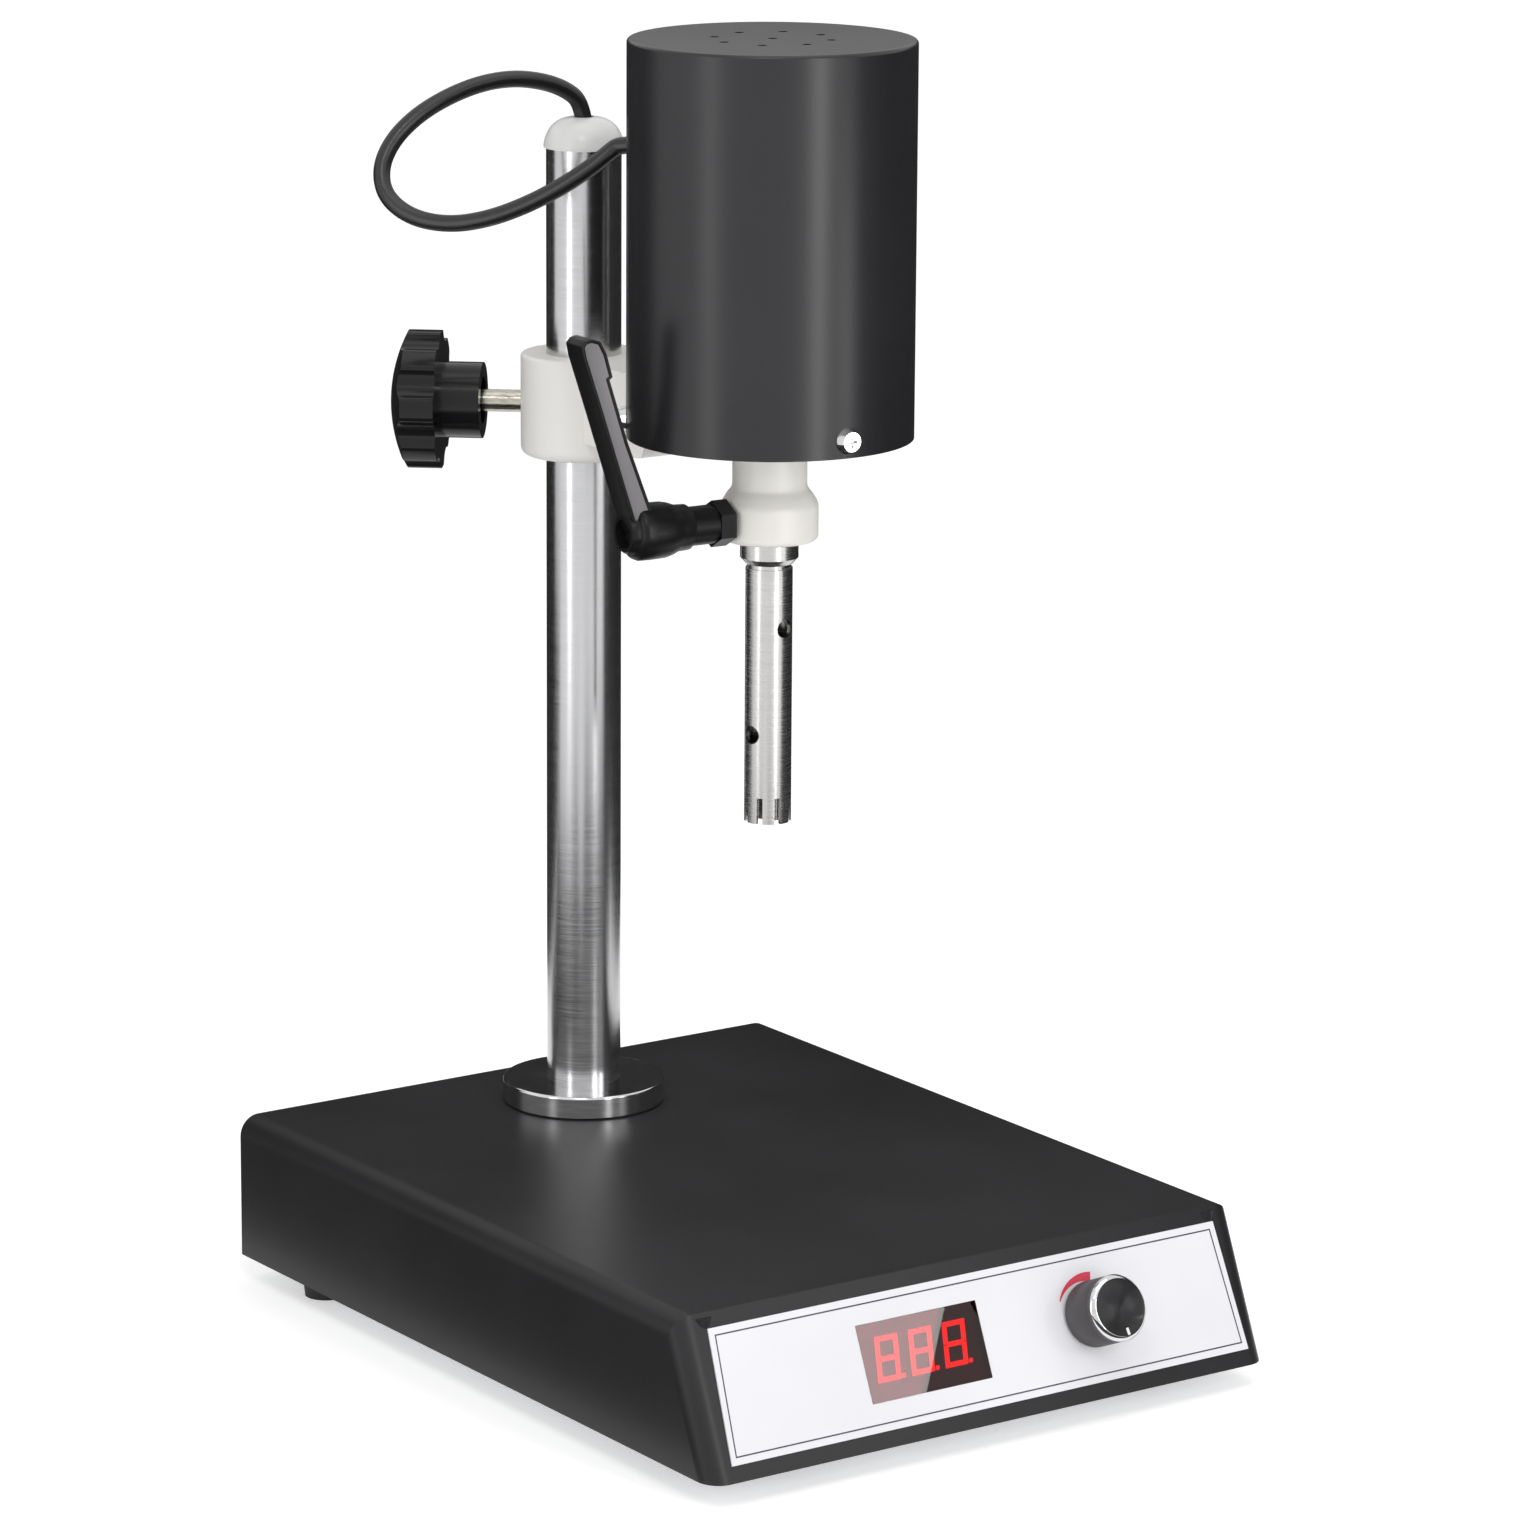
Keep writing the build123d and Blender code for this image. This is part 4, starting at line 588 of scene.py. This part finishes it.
settle(displayBlock, onPanel(0, 0))
dress(displayBlock, windowBlack, "base", ["display_module"])


def segmentOutlines(w, h, t, g):
    # the seven strokes of a figure from its width, height, stroke and gap, with its upper left at 0, 0
    half = h / 2
    flat = [(g, 0), (w - g, 0), (w - t - g, -t), (t + g, -t)]
    bar = [(t / 2 + g, -half), (t + g, -half + t / 2), (w - t - g, -half + t / 2),
           (w - t / 2 - g, -half), (w - t - g, -half - t / 2), (t + g, -half - t / 2)]
    post = [(0, -g), (t, -t - g), (t, -half + t / 2 + g), (t / 2, -half + g), (0, -half + g)]
    foot = [(x, -h - y) for x, y in flat]
    lower = [(x, -h - y) for x, y in post]
    right = [(w - x, y) for x, y in post]
    lowerRight = [(w - x, y) for x, y in lower]
    return [flat, bar, post, foot, lower, right, lowerRight]


segments = []
for number, outline in enumerate(segmentOutlines(
        displayValues["width"], displayValues["height"], displayValues["stroke"], displayValues["gap"])):
    segments.append(slab("segment%d" % number, outline, 0, displayValues["raised"]))
firstFigure = joinInto("figureLeft", segments)
dotRings = [(displayValues["dotRadius"], 0), (displayValues["dotRadius"], displayValues["raised"])]
dot = turned("figureDot", dotRings, displayValues["dotSides"])
dot.matrix_world = Matrix.Translation((
    (displayValues["width"] + displayValues["dotRight"]) * mm,
    (-displayValues["height"] + displayValues["dotUp"]) * mm, 0))
settle(dot)
firstFigure = joinInto("figureLeft", [firstFigure, dot])
lean = sin(radians(displayValues["slant"]))
for vert in firstFigure.data.vertices:
    vert.co.x += vert.co.y * lean
figures = [firstFigure, copyOf(firstFigure, "figureMiddle"), copyOf(firstFigure, "figureRight")]
for figure, left in zip(figures, displayValues["lefts"]):
    settle(figure, onPanel(left, displayValues["down"], displayValues["face"]))
    dress(figure, litSegments, "base")
print("display made")


# speed dial: fluted body, bright bevel, spun face and pointer

dialValues = dict(
    flutes=72, fluteDepth=0.22, fluteRadius=10.7, fluteTop=13.0, fluteSlack=0.01, sides=128,
    body=[(6.9, 1.1), (10.35, 1.1), (10.7, 1.5), (10.7, 12.9), (10.45, 13.15), (10.45, 13.5), (10.7, 13.75),
          (10.75, 15.3), (9.9, 15.55)],
    ring=[(10.1, 15.2), (10.72, 15.3), (10.68, 15.5), (9.55, 16.75), (9.25, 16.8), (9.15, 16.5)],
    face=[(9.3, 15.6), (9.3, 16.45), (9.1, 16.6), (0.35, 16.62), (0.1, 16.5)],
    pointer=(2.3, 1.0), pointerTurn=-82.5, pointerReach=7.95, pointerLow=16.4, pointerHigh=16.7,
    pointerRound=0.08)
dialPlace = onPanel(*dialMiddle)
dialBody = turned("dialBody", dialValues["body"], dialValues["flutes"] * 2)
for vert in dialBody.data.vertices:
    reach = hypot(vert.co.x, vert.co.y)
    onFlute = abs(reach - dialValues["fluteRadius"] * mm) < dialValues["fluteSlack"] * mm
    if onFlute and vert.co.z < dialValues["fluteTop"] * mm:
        step = round(degrees(atan2(vert.co.y, vert.co.x)) / (180 / dialValues["flutes"]))
        if step % 2:
            vert.co.x *= 1 - dialValues["fluteDepth"] * mm / reach
            vert.co.y *= 1 - dialValues["fluteDepth"] * mm / reach
dialRing = turned("dialRing", dialValues["ring"], dialValues["sides"])
dialFace = turned("dialFace", dialValues["face"], dialValues["sides"])
pointer = slab("dialPointer", boxOutline((dialValues["pointerReach"], 0), dialValues["pointer"]),
               dialValues["pointerLow"], dialValues["pointerHigh"])
pointer.matrix_world = Matrix.Rotation(radians(dialValues["pointerTurn"]), 4, "Z")
bevelEdges(pointer, dialValues["pointerRound"], 2)
for piece, finish in ((dialBody, dialBlack), (dialRing, chromePlate), (dialFace, spunBlack),
                      (pointer, pointerWhite)):
    settle(piece, dialPlace)
    smoothByAngle(piece)
    dress(piece, finish, "dial")
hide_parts("speed_knob")
print("dial made")


# clamping lever: turned hub, leaning arm with a recessed face, rounded all over

leverValues = dict(
    azimuth=177, height=276,
    hub=[(2.35, 40.3), (5.6, 40.3), (5.6, 31.4), (7.0, 31.4), (7.35, 31.8), (7.5, 35.2), (7.7, 36.2),
         (8.5, 38.2), (9.0, 40.5), (9.15, 46.0), (9.05, 49.6), (8.5, 50.9), (7.4, 51.5), (6.9, 51.7),
         (6.7, 52.3), (6.5, 53.6), (5.9, 54.3), (4.7, 54.4), (4.6, 53.9), (4.6, 41.5), (2.35, 41.5),
         (2.35, 40.3)],
    arm=[(0, 44.5), (0, 52.0), (6.6, 54.4), (20.0, 58.9), (40.0, 65.5), (58.0, 71.6), (61.8, 72.4),
         (63.6, 71.0), (64.0, 68.6), (63.0, 65.6), (59.0, 63.4), (51.4, 61.2), (50.6, 62.3), (30.0, 55.6),
         (7.0, 46.6)],
    half=5.1, rim=0.75, rimSlope=0.25, sink=0.45, round=0.7, roundAngle=40)
leverPlace = outwards(motorY, leverValues["height"], leverValues["azimuth"])
hub = turned("leverHub", leverValues["hub"], through=True)
arm = slab("leverArm", leverValues["arm"], -leverValues["half"], leverValues["half"])
arm.matrix_world = Matrix(((1, 0, 0, 0), (0, 0, 1, 0), (0, 1, 0, 0), (0, 0, 0, 1)))  # swaps Y and Z
settle(arm)
faceOut(arm)
pickFaces(arm, lambda f: abs(f.normal.y) > 0.9)
bpy.ops.mesh.inset(thickness=leverValues["rim"] * mm, depth=0)
bpy.ops.mesh.inset(thickness=leverValues["rimSlope"] * mm, depth=-leverValues["sink"] * mm)
bpy.ops.object.mode_set(mode="OBJECT")
arm.data.materials.append(leverPlastic)
arm.data.materials.append(leverFacePaintedSheen)
# the sunk faces get the second material, whose lighter grey is a painted sheen
for face in arm.data.polygons:
    if face.select:
        face.material_index = 1
hub.data.materials.append(leverPlastic)
bevelEdges(arm, leverValues["round"], 3, leverValues["roundAngle"])
smoothByAngle(arm)
smoothByAngle(hub)
clampLever = joinInto("clampLever", [arm, hub])
settle(clampLever, leverPlace)
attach(clampLever, "lever_handle")
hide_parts("lever_handle")
print("lever made")


# floor, backdrop and light

stageValues = dict(
    floorSize=40, floorColour=(0.90, 0.90, 0.90), floorRoughness=0.9, floorLift=0.38,
    worldColour=(1.0, 1.0, 1.0), worldLevel=0.70, worldSeen=1.0)
clearSelection()
bpy.ops.mesh.primitive_plane_add(size=stageValues["floorSize"], location=(0, 0, 0))
floor = nameNew("floor")
floorPaint, floorTree, floorShader = newMaterial(
    "floorPaint", stageValues["floorColour"], stageValues["floorRoughness"])
floorPath = floorTree.nodes.new("ShaderNodeLightPath")
floorSeen = mathNode(floorTree, "MAXIMUM", floorPath.outputs["Is Camera Ray"], floorPath.outputs["Is Glossy Ray"])
floorLift = mathNode(floorTree, "MULTIPLY", floorSeen, stageValues["floorLift"])
floorShader.inputs["Emission Color"].default_value = (1, 1, 1, 1)
floorTree.links.new(floorLift, floorShader.inputs["Emission Strength"])
floor.data.materials.append(floorPaint)

world = bpy.data.worlds.new("studio")
bpy.context.scene.world = world
world.use_nodes = True
worldTree = world.node_tree
backgroundNode = worldTree.nodes["Background"]
backgroundNode.inputs["Color"].default_value = (*stageValues["worldColour"], 1)
worldPath = worldTree.nodes.new("ShaderNodeLightPath")
seen = mathNode(worldTree, "MAXIMUM", worldPath.outputs["Is Camera Ray"], worldPath.outputs["Is Transmission Ray"])
seen = mathNode(worldTree, "MAXIMUM", seen, worldPath.outputs["Is Glossy Ray"])
strength = worldTree.nodes.new("ShaderNodeMapRange")
strength.inputs["To Min"].default_value = stageValues["worldLevel"]
strength.inputs["To Max"].default_value = stageValues["worldSeen"]
worldTree.links.new(seen, strength.inputs["Value"])
worldTree.links.new(strength.outputs["Result"], backgroundNode.inputs["Strength"])


def softbox(name, spot, turn, size, power):
    # a lamp that lights the set and shows in reflections, but not to the camera
    lampData = bpy.data.lights.new(name, "AREA")
    lampData.shape = "RECTANGLE"
    lampData.size, lampData.size_y = size
    lampData.energy = power
    lamp = bpy.data.objects.new(name, lampData)
    bpy.context.scene.collection.objects.link(lamp)
    lamp.location = spot
    lamp.rotation_euler = [radians(a) for a in turn]
    lamp.visible_camera = False


def around(azimuth, distance, height):
    return (distance * cos(radians(azimuth)), distance * sin(radians(azimuth)), height)


def darkCard(name, spot, turn, size):
    # a black flag beside the set, seen only in the reflections of polished and painted surfaces
    clearSelection()
    bpy.ops.mesh.primitive_plane_add(size=1, location=spot)
    card = nameNew(name)
    card.scale = (size[0], size[1], 1)
    card.rotation_euler = [radians(a) for a in turn]
    card.data.materials.append(cardBlack)
    card.visible_camera = False
    card.visible_diffuse = False
    card.visible_shadow = False
    card.visible_transmission = False


# upright lamps and cards stand on rings round the set and face it; sizes in metres, power in watts
ringValues = dict(lampDistance=1.0, lampHeight=0.42, cardDistance=0.85, cardHeight=0.31, cardTall=0.60)
for name, azimuth, size, power in (
        ("keyLight", 272, (0.11, 0.80), 2.7),
        ("sideLight", 187, (0.16, 0.80), 1.3)):
    softbox(name, around(azimuth, ringValues["lampDistance"], ringValues["lampHeight"]),
            (90, 0, azimuth + 90), size, power)
for name, spot, turn, size, power in (
        ("knobLight", (-0.602, -0.669, 1.2), (47, 0, -34.7), (0.35, 0.07), 1.9),
        ("topLight", (0.1, -0.3, 1.9), (10, 0, 0), (1.4, 1.4), 5),
        ("windowLight", (0.25878, -0.55672, 0.2444), (65.22, 36.05, 21.69), (0.09, 0.10), 0.19)):
    softbox(name, spot, turn, size, power)

cardBlack, _, _ = newMaterial("cardBlack", (0.02, 0.02, 0.02), 0.9)
for azimuth, width in ((311, 0.26), (331, 0.30), (355, 0.46), (24, 0.50), (54, 0.50), (86, 0.50), (118, 0.46)):
    darkCard("cardUpright%d" % azimuth,
             around(azimuth, ringValues["cardDistance"], ringValues["cardHeight"]),
             (90, 0, azimuth - 90), (width, ringValues["cardTall"]))
for name, spot, turn, size in (
        ("cardLaidRight", around(5, 1.15, 0.003), 5, (1.5, 1.9)),
        ("cardLaidBehind", around(92, 1.30, 0.004), 92, (1.7, 1.9)),
        ("cardLaidLeft", (-0.36, 0.05, 0.002), 0, (0.46, 0.70)),
        ("cardLaidFront", (0.10, -0.40, 0.002), 0, (0.90, 0.44))):
    darkCard(name, spot, (0, 0, turn), size)
print("stage lit")
